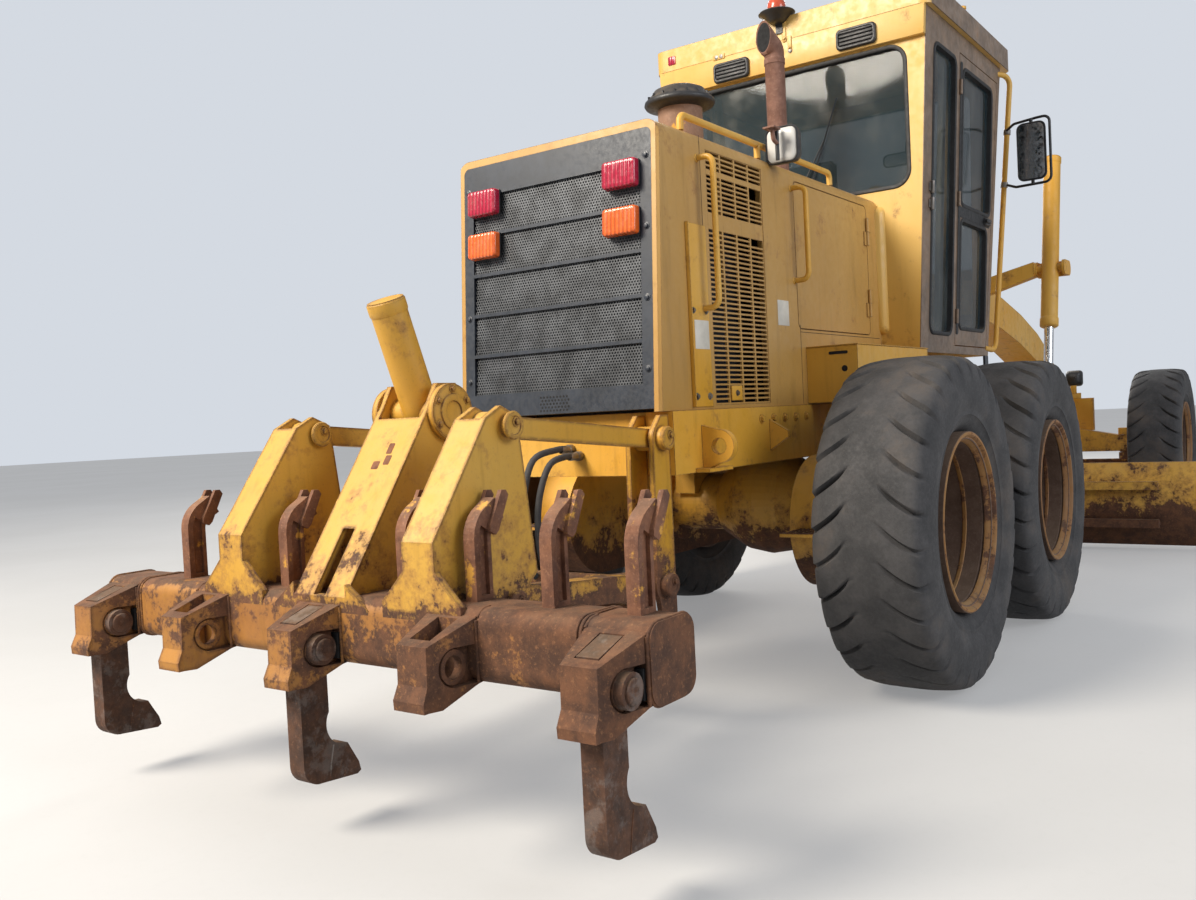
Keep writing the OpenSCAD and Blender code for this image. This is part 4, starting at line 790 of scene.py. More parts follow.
def add_lamps():
    for side_name, side in SIDES:
        lamp_box("stop_" + side_name, RED, side * 0.335, 0.160)
        lamp_box("turn_" + side_name, AMBER, side * 0.335, 0.334)
    # Work lamp on the right side of the hood, facing back
    c = at(-0.850, -0.545, HOOD_TOP + 0.047)
    place = lambda a, b, d: c + Vector((d, a, b))
    case = lamp("work_lamp_%s", "lamp_lens", "chassis", place,
                ((0.045, 0.026, 0.026, 0.018), (0.034, 0.056, 0.058, 0.028), (0.006, 0.071, 0.074, 0.032),
                 (-0.028, 0.075, 0.079, 0.032), (-0.038, 0.075, 0.079, 0.032), (-0.041, 0.071, 0.075, 0.030),
                 (-0.035, 0.067, 0.071, 0.028)),
                ((-0.034, 0.067, 0.071, 0.028), (-0.026, 0.050, 0.053, 0.024), (-0.020, 0.018, 0.019, 0.010)),
                ((-0.035, 0.067, 0.071, 0.028), (-0.040, 0.064, 0.068, 0.026), (-0.042, 0.045, 0.048, 0.020)),
                (place(0.004, -0.070, -0.070), place(0.004, 0.070, -0.070), 0.009))
    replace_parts(case, "lamps")
    arm = Piece("work_lamp_arm", RUST_STACK, "lamp_lens", bevel=0.001)
    arm.tube(round_corners([place(0.004, *p) for p in ((0.0, -0.070), (0.010, -0.105), (0.056, -0.115))], 0.015, 4),
             0.009, 12)
    arm.box(place(-0.022, 0.050, -0.150), place(0.030, 0.0575, -0.085))
    for z in (-0.135, -0.100):
        arm.bolt(place(0.004, 0.050, z), (0, -1, 0), 0.007, 0.006)
    arm.done()


def add_hood_trim():
    trim = Piece("hood_trim", PAINT, "yellow_paint", bevel=0.0015)
    gaps = Piece("hood_seams", DARK_INSIDE, "black_paint")
    plates = Piece("blank_plates", PLATE, "yellow_paint", bevel=0.0006)
    bolts = Piece("hood_bolts", STEEL, "yellow_paint")
    for _, s in SIDES:
        face = s * HOOD_HALF
        wall = lambda x0, x1, z0, z1, t: (at(x0, face, z0), at(x1, face + s * t, z1))
        # Seams between the hood's sheets
        for x0, x1, z0, z1 in ((-1.497, -1.4945, 1.85, 2.235), (-0.652, -0.6495, 1.190, 1.545),
                               (-0.652, 0.325, 1.512, 1.5145)):
            gaps.box(*wall(x0, x1, z0, z1, 0.0006))
        # Narrow access cover with a raised edge, near the rear corner
        trim.box(*wall(-1.630, -1.482, 1.195, 1.890, 0.004))
        trim.box(*wall(-1.634, -1.628, 1.195, 1.890, 0.016))
        for x in (-1.604, -1.508):
            bolts.bolt(at(x, face + s * 0.004, 1.235), (0, s, 0), 0.009, 0.007)
            bolts.bolt(at(x, face + s * 0.004, 1.560), (0, s, 0), 0.008, 0.006)
        plates.box(at(-1.600, face + s * 0.004, 1.415), at(-1.492, face + s * 0.0052, 1.525))
        plates.box(*wall(-0.875, -0.765, 1.535, 1.645, 0.0012))
        # Small cover plate at the foot of the louvres
        trim.box(*wall(-1.330, -1.240, 1.215, 1.275, 0.005))
        bolts.bolt(at(-1.285, face + s * 0.005, 1.245), (0, s, 0), 0.008, 0.006)
    for p in (trim, gaps, plates, bolts):
        p.done()


def add_shade_cores():
    """Near-black cores that stand behind the louvres and the grille: painted shade inside the hood."""
    core = Piece("hood_shade_cores", DARK_INSIDE, "black_paint", bevel=0.004)
    slats, slat_pitch = 12, 0.0655
    for s in (-1, 1):
        core.box(at(-1.460, s * 0.300, 1.260), at(-0.720, s * 0.306, 2.180))
        for k in range(slats):
            x = -1.450 + slat_pitch * k
            core.box(at(x, s * 0.306, 1.265), at(x + 0.006, s * 0.318, 2.175))
    core.done()


CLEANER_VANES = 16


def add_stack_and_cleaner():
    x, y, r = -0.020, -0.120, 0.0505
    stack = Piece("exhaust_pipe", RUST_STACK, "stack_rust", smooth=50)
    facing = Vector((-0.912, 0.410, 0.0))        # the mouth is an upright cut that faces this way
    across = Vector((0.410, 0.912, 0.0))

    def ring(centre, ahead, radius):
        level = across.cross(ahead).normalized()
        return [centre + radius * (across * u + level * v) for u, v in turns(32)]

    lean = math.radians(46)
    bend_r, start = 0.060, 2.985
    rings = [ring(at(x, y, HOOD_TOP), UP, r), ring(at(x, y, start), UP, r)]
    for k in range(1, 7):
        t = lean * k / 6
        ahead = facing * math.sin(t) + UP * math.cos(t)
        c = at(x, y, start) + facing * bend_r * (1 - math.cos(t)) + UP * bend_r * math.sin(t)
        rings.append(ring(c, ahead, r + 0.0012 * k))
    mouth = at(x, y, 0) + facing * 0.068

    def cut(points, back=0.0):
        """Slides points along the pipe's last direction until they lie in the mouth's upright plane."""
        return [p + ahead * ((mouth - p).dot(facing) - back) / ahead.dot(facing) for p in points]

    rings.append(cut(ring(c, ahead, r + 0.0080)))
    inner = [cut(ring(c, ahead, r + 0.0045)), cut(ring(c, ahead, r - 0.004), 0.012)]
    stack.rings(rings + inner, caps=False)
    stack.lathe(at(x, y, HOOD_TOP), UP, [(0.075, 0.0), (0.075, 0.012), (0.056, 0.016), (0.054, 0.07), (0.051, 0.075)],
                32)
    stack.lathe(at(x, y, start - 0.045), UP, [(r, 0.0), (r + 0.003, 0.002), (r + 0.003, 0.030), (r, 0.032)], 32)
    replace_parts(stack.done(), "exhaust_stack")
    soot = Piece("exhaust_mouth", DARK_INSIDE, "stack_rust")
    soot.rings([cut(ring(c, ahead, r + 0.0040), 0.003), cut(ring(c, ahead, r - 0.006), 0.020)])
    soot.done()
    x, y = -1.000, -0.120
    body = Piece("cleaner_body", RUST_CLEANER, "yellow_paint", smooth=50)
    body.lathe(at(x, y, HOOD_TOP), UP,
               [(0.0, 0.0), (0.112, 0.0), (0.112, 0.010), (0.098, 0.014), (0.098, 0.262), (0.0, 0.262)], 48)
    done = body.done()
    cap = Piece("cleaner_cap", BLACK_PLASTIC, "black_paint", smooth=50)
    cap.lathe(at(x, y, HOOD_TOP), UP,
              [(0.0, 0.258), (0.102, 0.258), (0.118, 0.266), (0.150, 0.272), (0.156, 0.282), (0.153, 0.294),
               (0.138, 0.306), (0.124, 0.322), (0.112, 0.340), (0.085, 0.352), (0.040, 0.358), (0.0, 0.360)], 48)
    for i, (u, v) in enumerate(turns(CLEANER_VANES)):
        d, t = Vector((u, v, 0)), 2 * math.pi * i / CLEANER_VANES
        c = at(x, y, HOOD_TOP) + d * 0.128
        cap.box(c + Vector((-0.014, -0.002, 0.300)), c + Vector((0.014, 0.002, 0.316)),
                turn=Matrix.Rotation(t, 3, "Z"))
    cap.done()
    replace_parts(done, "pre_cleaner")


# ---- rails, mirrors and cab

def add_rails():
    """Round bars with bent corners in place of the plain rails."""
    rails = Piece("bent_rails", PAINT, "yellow_paint", smooth=60)
    clamps = Piece("rail_clamps", STEEL, "black_paint", bevel=0.001)
    for _, s in SIDES:
        for x, z0, z1 in ((-1.520, 1.571, 2.144), (-0.690, 1.740, 2.150)):
            y = HOOD_HALF + 0.070
            hoop = [at(x, s * b, c) for b, c in ((HOOD_HALF, z0), (y, z0), (y, z1), (HOOD_HALF, z1))]
            rails.tube(round_corners(hoop, 0.036, 6), 0.012, 14)
            for z in (z0, z1):
                rails.lathe(at(x, s * HOOD_HALF, z), (0, s, 0), [(0.017, 0.0), (0.016, 0.003), (0.012, 0.006)], 20)
        y, top, r = s * 0.445, HOOD_TOP + 0.060, 0.014
        hoop = [at(a, y, c) for a, c in ((-1.560, HOOD_TOP), (-1.560, top), (-0.150, top), (-0.150, HOOD_TOP))]
        rails.tube(round_corners(hoop, 0.045, 6), r, 14)
        rails.tube([at(-0.920, y, HOOD_TOP), at(-0.920, y, top)], r, 14)
        high, low = at(1.790, s * 0.835, 3.145), at(1.730, s * 0.700, 1.455)
        rails.tube(round_corners([at(1.675, s * 0.757, 3.148), high + UP * -0.004, low + UP * 0.010,
                                  at(1.545, s * 0.682, 1.478)], 0.060, 7), 0.016, 16)
        for z in (2.480, 2.800):
            t = (z - 1.455) / (3.145 - 1.455)
            c = low.lerp(high, t)
            clamps.lathe(c, high - low, [(0.016, -0.016), (0.021, -0.016), (0.021, 0.016), (0.016, 0.016)], 20)
            clamps.bolt(c + Vector((-0.020, 0, 0)), (-1, 0, 0), 0.006, 0.008)
    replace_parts(rails.done(), "handrails")
    clamps.done()


def add_mirrors():
    """Tall rounded heads, each inside a tube loop clamped to the grab rail."""
    for name, s in SIDES:
        loop = Piece("mirror_loop_" + name, BLACK_PLASTIC, "black_paint", smooth=60)
        inner = [at(1.768, s * 0.795, z) for z in (2.480, 2.800)]
        path = [inner[0], at(1.730, s * 0.860, 2.450), at(1.690, s * 1.000, 2.445), at(1.680, s * 1.075, 2.445),
                at(1.680, s * 1.075, 2.835), at(1.690, s * 1.000, 2.835), at(1.730, s * 0.860, 2.832), inner[1]]
        loop.tube(round_corners(path, 0.045, 5), 0.008, 12)
        for low_z, high_z in ((2.445, 2.480), (2.800, 2.835)):
            loop.cylinder(at(1.690, s * 0.968, low_z), at(1.690, s * 0.968, high_z), 0.010, 12)
        loop.done()
        head = Piece("mirror_head_" + name, BLACK_PLASTIC, "black_paint", smooth=50)
        place = lambda a, b, d: at(1.690 + d, s * (0.968 + a), 2.640 + b)
        head.oblong(place,
                    ((-0.012, 0.074, 0.164, 0.034), (-0.014, 0.080, 0.170, 0.038), (-0.008, 0.084, 0.174, 0.040),
                     (0.010, 0.081, 0.171, 0.040), (0.026, 0.058, 0.140, 0.036), (0.031, 0.026, 0.090, 0.022)))
        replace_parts(head.done(), "mirrors")
        face = Piece("mirror_face_" + name, MIRROR, "mirror")
        face.prism(rounded_rect((-0.073, -0.163), (0.073, 0.163), 0.033), place, (-0.0125, -0.0145))
        face.done()


def half_at(z):
    return CAB_HALF + CAB_WIDENS * (z - CAB_FLOOR)


def cab_side(s):
    """Places (x, z, distance out) on the cab's leaning side wall."""
    return lambda x, z, d: at(x, s * (half_at(z) + d), z)


def gasket(piece, low, high, r, place):
    """Moulded rubber round a window; place takes (a, b, distance out of the wall)."""
    rings = []
    profile = ((-0.006, -0.034), (-0.005, 0.004), (0.002, 0.008), (0.012, 0.007), (0.016, 0.001), (0.015, -0.002))
    for grow, out in profile:
        rings.append([place(a, b, out) for a, b in
                      rounded_rect((low[0] - grow, low[1] - grow), (high[0] + grow, high[1] + grow), r + grow, 8)])
    piece.rings(rings, caps=False)


CAB_REAR, CAB_FRONT, CAB_LEAN = 0.360, 1.600, 0.140
DOOR_X = (CAB_FRONT - 0.665, CAB_FRONT - 0.055)
DOOR_Z = (CAB_FLOOR + 0.050, CAB_EAVES - 0.105)
DOOR_MID = 2.270


def add_cab_rubber():
    ring = Piece("cab_gaskets", GASKET, "black_paint", smooth=50)
    gasket(ring, (-0.665, HOOD_TOP + 0.050), (0.665, CAB_EAVES - 0.175), 0.080,
           lambda a, b, d: at(CAB_REAR - d, a, b))
    slope = CAB_LEAN / (CAB_EAVES - CAB_FLOOR)
    gasket(ring, (-0.620, CAB_FLOOR + 0.130), (0.620, CAB_EAVES - 0.125), 0.060,
           lambda a, b, d: at(CAB_FRONT + slope * (b - CAB_FLOOR) + d, a, b))
    for _, s in SIDES:
        side = cab_side(s)
        gasket(ring, (CAB_REAR + 0.140, CAB_FLOOR + 0.110), (DOOR_X[0] - 0.075, CAB_EAVES - 0.155), 0.050, side)
    ring.done()
    for name, s in SIDES:
        side = cab_side(s)
        body = "cab_door_" + name
        rubber_ring = Piece("door_gaskets_" + name, GASKET, "black_paint", body, smooth=50)
        gasket(rubber_ring, (DOOR_X[0] + 0.065, DOOR_Z[0] + 0.100), (DOOR_X[1] - 0.045, DOOR_MID - 0.090), 0.045,
               side)
        gasket(rubber_ring, (DOOR_X[0] + 0.065, DOOR_MID), (DOOR_X[1] + 0.015, DOOR_Z[1] - 0.070), 0.045, side)
        # Black skin over the door's frame, round both windows
        for a0, a1, b0, b1 in ((DOOR_X[0] + 0.012, DOOR_X[0] + 0.050, DOOR_Z[0] + 0.06, DOOR_Z[1] - 0.04),
                               (DOOR_X[0] + 0.050, DOOR_X[1] + 0.020, DOOR_MID - 0.074, DOOR_MID - 0.016)):
            rubber_ring.prism(rounded_rect((a0, b0), (a1, b1), 0.010), side, (-0.001, 0.003))
        rubber_ring.done()
        latch = Piece("door_latch_" + name, BLACK_PLASTIC, "black_paint", body, bevel=0.002)
        by_latch = lambda a, b, d: side(DOOR_X[1] - 0.045 + a, DOOR_MID - 0.045 + b, d)
        latch.panel(by_latch, (-0.060, -0.024), (0.045, 0.024), 0.012, ((0.002, 0.0), (0.014, 0.002), (0.020, 0.008)))
        latch.prism(rounded_rect((-0.085, -0.010), (0.010, 0.010), 0.009), by_latch, (0.020, 0.032))
        latch.done()
    catches = Piece("window_catches", STEEL, "yellow_paint", bevel=0.0015)
    for _, s in SIDES:
        side = cab_side(s)
        for z in (2.200, 2.285):
            catches.cylinder(side(CAB_REAR + 0.115, z - 0.032, 0.012), side(CAB_REAR + 0.115, z + 0.032, 0.012),
                             0.010, 14)
            catches.prism(rounded_rect((CAB_REAR + 0.085, z - 0.022), (CAB_REAR + 0.122, z + 0.022), 0.006), side,
                          (0.0, 0.006))
    catches.done()


def add_roof_fittings():
    rear = CAB_REAR - 0.030
    fascia = Piece("roof_fascia", PAINT_ROOF, "yellow_paint", bevel=0.003)
    z0 = CAB_EAVES - 0.150
    fascia.prism(((-half_at(z0), z0), (half_at(z0), z0), (CAB_HALF_TOP, CAB_EAVES), (-CAB_HALF_TOP, CAB_EAVES)),
                 lambda y, z, x: at(x, y, z), (rear + 0.0005, CAB_REAR))
    fascia.box(at(rear - 0.004, 0.350, 3.175), at(rear + 0.002, 0.425, 3.205))
    fascia.done()
    vents = Piece("roof_vents", BLACK_PLASTIC, "black_paint", bevel=0.002, smooth=50)
    for y0, y1, z0, z1 in ((0.199, 0.422, 3.040, 3.150), (-0.537, -0.319, 3.045, 3.155)):
        place = lambda a, b, d: at(rear - d, a, b)
        vents.panel(place, (y0, z0), (y1, z1), 0.022,
                    ((0.0, 0.0), (0.014, 0.001), (0.020, 0.006), (0.020, 0.014), (0.010, 0.016)))
        for k in range(4):
            z = z0 + 0.024 + 0.020 * k
            vents.prism(((y0 + 0.018, z), (y1 - 0.018, z), (y1 - 0.018, z + 0.010), (y0 + 0.018, z + 0.010)), place,
                        (0.010, 0.019))
    vents.done()
    small = Piece("roof_bolts", STEEL, "black_paint")
    for y, z in ((0.140, 3.215), (-0.050, 3.120), (0.372, 3.190), (0.403, 3.190)):
        small.lathe(at(rear - 0.004, y, z), (-1, 0, 0),
                    [(0.012, -0.006), (0.012, 0.001), (0.006, 0.003), (0.0, 0.003)], 16)
    small.done()
    mark = Piece("rear_reflector", RED, "lamp_lens")
    mark.oblong(lambda a, b, d: at(rear - d, 0.699 + a, 3.242 + b),
                ((0.0, 0.024, 0.024, 0.005), (0.005, 0.024, 0.024, 0.005), (0.007, 0.020, 0.020, 0.005)))
    mark.done()
    x, y, z = rear - 0.030, 0.005, CAB_EAVES + 0.090
    base = Piece("beacon_base", BLACK_PLASTIC, "black_paint", smooth=45)
    base.lathe(at(x, y, z), UP,
               [(0.0, 0.0), (0.036, 0.0), (0.050, 0.012), (0.074, 0.036), (0.098, 0.046), (0.100, 0.050),
                (0.096, 0.054), (0.056, 0.060), (0.050, 0.066), (0.0, 0.066)], 40)
    base.box(at(x + 0.020, y - 0.020, z - 0.050), at(rear + 0.001, y + 0.020, z + 0.030))
    base.done()
    dome = Piece("beacon_dome", BEACON, "lamp_lens", smooth=60)
    dome.lathe(at(x, y, z), UP,
               [(0.0, 0.064), (0.050, 0.064), (0.052, 0.070), (0.048, 0.104), (0.040, 0.120), (0.022, 0.128),
                (0.0, 0.130)], 36)
    dome.done()
    tabs = Piece("beacon_bracket", PAINT_ROOF, "yellow_paint", bevel=0.001)
    for dy, low, high in ((-0.055, -0.175, -0.095), (-0.025, -0.120, -0.010)):
        tabs.box(at(rear - 0.006, y + dy - 0.011, z + low + 0.02), at(rear + 0.002, y + dy + 0.011, z + high + 0.02))
        tabs.bolt(at(rear - 0.006, y + dy, z + low + 0.035), (-1, 0, 0), 0.006, 0.006)
    tabs.done()
    cap = Piece("roof_stud", PAINT, "yellow_paint", smooth=50)
    for _, s in SIDES:
        cap.lathe(at(1.050, s * 0.770, CAB_EAVES + 0.125), UP,
                  [(0.030, 0.0), (0.030, 0.008), (0.018, 0.012), (0.018, 0.040), (0.024, 0.044), (0.024, 0.058),
                   (0.0, 0.060)], 20)
    cap.done()


def add_cab_inside():
    posts = Piece("inner_posts", CREAM, "black_paint", bevel=0.006)
    for _, s in SIDES:
        posts.prism(((0.845, 0.0), (0.915, 0.0), (0.915, 0.030), (0.845, 0.030)),
                    lambda x, t, z: at(x, s * (half_at(z) - 0.062 - t), z), (CAB_FLOOR + 0.055, CAB_EAVES - 0.02))
    posts.done()
    head = Piece("inner_mirror", BLACK_PLASTIC, "black_paint", smooth=50)
    place = lambda a, b, d: at(1.480 + d, -0.260 + a, 2.690 + b)
    head.oblong(place,
                  ((-0.010, 0.120, 0.034, 0.026), (-0.012, 0.130, 0.042, 0.030), (0.010, 0.128, 0.040, 0.030),
                   (0.026, 0.080, 0.020, 0.015)))
    head.tube([place(0, 0.0, 0.020), place(0, 0.10, 0.060), place(0, 0.30, 0.120)], 0.007, 10)
    head.done()
    face = Piece("inner_mirror_face", MIRROR, "mirror")
    face.prism(rounded_rect((-0.118, -0.032), (0.118, 0.032), 0.025), place, (-0.0105, -0.0125))
    face.done()
    wiper = Piece("rear_wiper", BLACK_PLASTIC, "black_paint", smooth=50)
    flat = lambda y, z, d=0.012: at(CAB_REAR - d + 0.016, y, z)
    wiper.tube([flat(-0.040, 2.322), flat(-0.120, 2.460), flat(-0.210, 2.610)], 0.005, 8)
    wiper.tube([flat(-0.130, 2.400, 0.010), flat(-0.290, 2.820, 0.010)], 0.004, 6)
    wiper.cylinder(flat(-0.040, 2.322, 0.004), flat(-0.040, 2.322, 0.020), 0.014, 16)
    wiper.done()
    rib = Piece("cab_wall_channel", PAINT_CAB, "yellow_paint", smooth=50)
    rib.panel(lambda a, b, d: at(CAB_REAR - d, a, b), (-0.530, 1.535), (-0.430, 2.206), 0.030,
              ((-0.002, 0.0), (0.010, 0.004), (0.026, 0.018), (0.032, 0.024)))
    rib.done()


# ---- seat pads

PAD_START = 1.88         # of its half size, how large a pad starts
PAD_VOXEL = 0.009
PAD_MOVE = 0.016         # how far the cloth simulation may move a point
SEAM_HALF, SEAM_DEEP = 0.022, 0.009


def padded_block(name, size, place, channels):
    """Cushion blown up by cloth simulation; channels are (axis, offset) of sewn lines on its top face."""
    half = Vector(size) / 2
    bm = bmesh.new()
    bmesh.ops.create_cube(bm, size=1)
    for v in bm.verts:
        v.co = Vector(a * b * PAD_START for a, b in zip(v.co, half))
    bmesh.ops.bevel(bm, geom=bm.edges[:], offset=0.022, segments=3, affect="EDGES")
    pad = add_object(name, to_mesh(bm, name))
    remesh = pad.modifiers.new("remesh", "REMESH")
    remesh.mode = "VOXEL"
    remesh.voxel_size = PAD_VOXEL
    apply_modifiers(pad)
    start = [v.co.copy() for v in pad.data.vertices]
    cloth_step = pad.modifiers.new("cloth", "CLOTH")
    settings = cloth_step.settings
    settings.use_pressure = True
    settings.uniform_pressure_force = 4
    settings.effector_weights.gravity = 0
    settings.quality = 4
    scene = bpy.context.scene
    for step in range(1, 16):
        scene.frame_set(step)
    apply_modifiers(pad)
    scene.frame_set(1)
    for v, was in zip(pad.data.vertices, start):
        move = v.co - was
        if move.length > PAD_MOVE:
            v.co = was + move * (PAD_MOVE / move.length)
        # Sewn channels, and a flat seat where it rests
        if v.co.z > 0.3 * half.z:
            for axis, offset in channels:
                d = abs(v.co[axis] - offset)
                if d < SEAM_HALF:
                    v.co.z -= SEAM_DEEP * (1 - d / SEAM_HALF) ** 2
        v.co = Vector(max(-b, min(b, a)) for a, b in zip(v.co, half))
    sub = pad.modifiers.new("soft", "SUBSURF")
    sub.levels = sub.render_levels = 1
    apply_modifiers(pad)
    pad.data.materials.clear()
    pad.data.materials.append(CLOTH)
    shade(pad.data, 70)
    pad.matrix_world = place
    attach(pad, "chassis")
    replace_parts(pad, "seat_cushions")


def add_seat():
    floor = CAB_FLOOR + 0.050
    padded_block("seat_pad", (0.478, 0.498, 0.128), Matrix.Translation(at(0.820, 0, floor + 0.395)),
                 ((0, -0.080), (0, 0.080), (1, -0.170), (1, 0.170)))
    turn = Matrix.Rotation(math.radians(-8), 4, "Y")
    middle = at(0.520, 0, floor + 0.440) + turn.to_3x3() @ Vector((0.055, 0, 0.335))
    lay = Matrix.Translation(middle) @ turn @ Matrix.Rotation(math.radians(90), 4, "Y")
    padded_block("seat_back_pad", (0.600, 0.478, 0.108), lay, ((0, -0.120), (0, 0.060), (1, -0.165), (1, 0.165)))


# ---- ripper fittings

BEAM_X = (-3.030, -2.830)
BEAM_Z = (0.490, 0.690)
LINK_Y = 0.420
ARM_REAR, LINK_REAR = (-2.717, 0.640), (-2.701, 1.165)
ARM_FRONT, LINK_FRONT = (-1.869, 0.564), (-1.853, 1.089)
TRUNNION = Vector((-2.564, 0, 1.217))
ROD_EYE = Vector((-2.280, 0, 0.450))
POCKET_PIN = (-3.095, 0.550)
POCKET_PITCH = 0.533


def pin_retainer(piece, place, side):
    """Cap on a pin's end: round plate, keeper and bolt."""
    out = Vector((0, side, 0))
    piece.lathe(place, out,
                [(0.030, -0.004), (0.041, -0.004), (0.043, 0.004), (0.039, 0.009), (0.028, 0.010), (0.026, 0.006),
                 (0.0, 0.006)], 36)
    piece.bolt(place + out * 0.006 + Vector((0.008, 0, 0.010)), out, 0.010, 0.009)


def add_ripper_fittings():
    pins = Piece("link_pin_caps", PAINT_TOWER, "yellow_paint", "ripper_beam", bevel=0.0008)
    fixed = Piece("hanger_pin_caps", PAINT_TOWER, "yellow_paint", bevel=0.0008)
    for _, s in SIDES:
        for x, z in (LINK_REAR, ARM_REAR):
            pin_retainer(pins, at(x, s * (LINK_Y + 0.085), z), s)
            pin_retainer(pins, at(x, s * (LINK_Y - 0.075), z), -s)
        for x, z in (LINK_FRONT, ARM_FRONT):
            pin_retainer(fixed, at(x, s * (LINK_Y + 0.085), z), s)
    fixed.done()
    # Rubbed patches on the middle tower's cover
    rubbed = Piece("tower_rubs", RUBBED, "rust_steel", "ripper_beam")
    slope = 0.7
    lean = math.hypot(1, slope)
    for y, z, w, h in ((0.010, 1.060, 0.030, 0.012), (-0.034, 1.075, 0.026, 0.014), (-0.026, 1.110, 0.024, 0.016)):
        face = lambda a, b, d: at(BEAM_X[0] + slope * (z + b - BEAM_Z[1]) - d / lean, y + a, z + b + slope * d / lean)
        rubbed.prism(rounded_rect((-w / 2, -h), (w / 2, h), 0.004), face, (-0.0002, 0.0008))
    rubbed.done()
    # Discs of the trunnion, the barrel's band and its gland
    disc = Piece("trunnion_bolts", PAINT_TOWER, "yellow_paint", "ripper_barrel", bevel=0.001)
    axis = (ROD_EYE - TRUNNION).normalized()
    c = at(*TRUNNION)
    for _, s in SIDES:
        face = c + Vector((0, s * 0.140, 0))
        disc.lathe(face, (0, s, 0),
                   [(0.088, -0.004), (0.088, 0.002), (0.060, 0.002), (0.057, 0.008), (0.036, 0.008), (0.034, 0.002),
                    (0.0, 0.002)], 44)
        for k in range(6):
            t = math.radians(30 + 60 * k)
            disc.bolt(face + Vector((0.074 * math.cos(t), s * 0.002, 0.074 * math.sin(t))), (0, s, 0), 0.009, 0.008)
    up, low = c - axis * 0.392, c + axis * 0.330
    disc.lathe(up, axis, [(0.060, 0.003), (0.0635, 0.006), (0.0635, 0.040), (0.0605, 0.048)], 48)
    disc.lathe(low, -axis,
               [(0.036, -0.004), (0.052, -0.004), (0.061, 0.002), (0.0635, 0.008), (0.0635, 0.050), (0.060, 0.058)],
               48)
    disc.done()
    # Weld beads round the beam and where the pockets and gussets meet it
    beads = Piece("beam_welds", PAINT_BEAM, "rust_steel", "ripper_beam", smooth=60)
    mid = at((BEAM_X[0] + BEAM_X[1]) / 2, 0, (BEAM_Z[0] + BEAM_Z[1]) / 2)
    section = rounded_rect((-0.1005, -0.1005), (0.1005, 0.1005), 0.045, 6)
    for _, s in SIDES:
        for y in (0.952, 0.966, 1.157):
            beads.tube([mid + Vector((a, s * y, b)) for a, b in section], 0.0045, 8, closed=True)
    for k in range(-2, 3):
        y = k * POCKET_PITCH
        for s in (-1, 1):
            beads.tube([at(BEAM_X[0] - 0.001, y + s * 0.090, z) for z in (0.500, 0.560, 0.620, 0.662)], 0.005, 8)
            over = ((0.004, 0.668), (0.030, 0.686), (0.058, 0.690))
            beads.tube([at(BEAM_X[0] + x, y + s * 0.090, z) for x, z in over], 0.005, 8)
    beads.done()
    # Heads of the shank pins and the keepers beside them
    heads = Piece("shank_pin_heads", RUST, "rust_steel", "ripper_beam", bevel=0.0012)
    keepers = Piece("shank_pin_keepers", DARK_INSIDE, "rust_steel", "ripper_beam", bevel=0.002)
    for k in (-2, 0, 2):
        p = at(POCKET_PIN[0], k * POCKET_PITCH - 0.089, POCKET_PIN[1])
        heads.lathe(p, (0, -1, 0),
                    [(0.032, -0.004), (0.032, 0.006), (0.028, 0.009), (0.012, 0.009), (0.010, 0.006), (0.0, 0.006)],
                    32)
        keepers.box(at(-3.040, k * POCKET_PITCH - 0.082, 0.512), at(-3.004, k * POCKET_PITCH - 0.057, 0.588))
    heads.done()
    keepers.done()
    seams = Piece("tip_seams", BARE, "rust_steel", "ripper_beam", smooth=60)
    for k in (-2, 0, 2):
        y = k * POCKET_PITCH
        for s in (-1, 1):
            seams.tube([at(x, y + s * 0.0322, z) for x, z in ((-3.054, 0.151), (-3.046, 0.200), (-3.034, 0.250))],
                       0.0022, 8)
        seams.tube([at(-3.054, y - 0.032, 0.1505), at(-3.054, y + 0.032, 0.1505)], 0.0025, 8)
    seams.done()
    pins.done()


def add_ripper_hoses():
    """Two short hoses, fixed at both ends to the rear frame."""
    hoses = Piece("ripper_hoses", HOSE, "black_paint", smooth=70)
    ends = Piece("hose_fittings", STEEL, "yellow_paint", bevel=0.0008)
    for y, reach in ((-0.075, 0.0), (-0.035, 0.045)):
        path = [at(-1.800, y, 1.030 + reach * 0.6), at(-1.900, y, 1.032 + reach * 0.6),
                at(-1.985 - reach, y + 0.010, 1.005 + reach * 0.5),
                at(-2.035 - reach, y + 0.022, 0.900), at(-2.040 - reach, y + 0.035, 0.780), at(-2.015 - reach,
                                                                                               y + 0.045, 0.660),
                at(-1.950 - reach * 0.4, y + 0.050, 0.560), at(-1.900, y + 0.050, 0.540)]
        smooth = []
        for p0, p1, p2, p3 in zip([path[0]] + path[:-2], path[:-1], path[1:], path[2:] + [path[-1]]):
            for i in range(6):
                t = i / 6
                smooth.append(0.5 * (2 * p1 + (p2 - p0) * t + (2 * p0 - 5 * p1 + 4 * p2 - p3) * t * t
                                     + (3 * p1 - p0 - 3 * p2 + p3) * t ** 3))
        hoses.tube(smooth + [path[-1]], 0.0125, 12)
        for p, d in ((path[0], Vector((-1, 0, 0))), (path[-1], Vector((-1, 0, 0)))):
            ends.lathe(p, d,
                       [(0.0, -0.03), (0.013, -0.03), (0.013, 0.0), (0.019, 0.004), (0.019, 0.026), (0.0155, 0.030),
                        (0.0155, 0.070), (0.0135, 0.074)], 20)
        ends.tube([path[-1] + Vector((0.03, 0, 0)), path[-1] + Vector((0.045, 0, -0.03)),
                   at(-1.845, y + 0.050, 0.478)], 0.012, 12)
    hoses.done()
    ends.done()


# ---- side boxes, steps and tandem

PIVOT_BOLTS, PIVOT_R = 14, 0.175


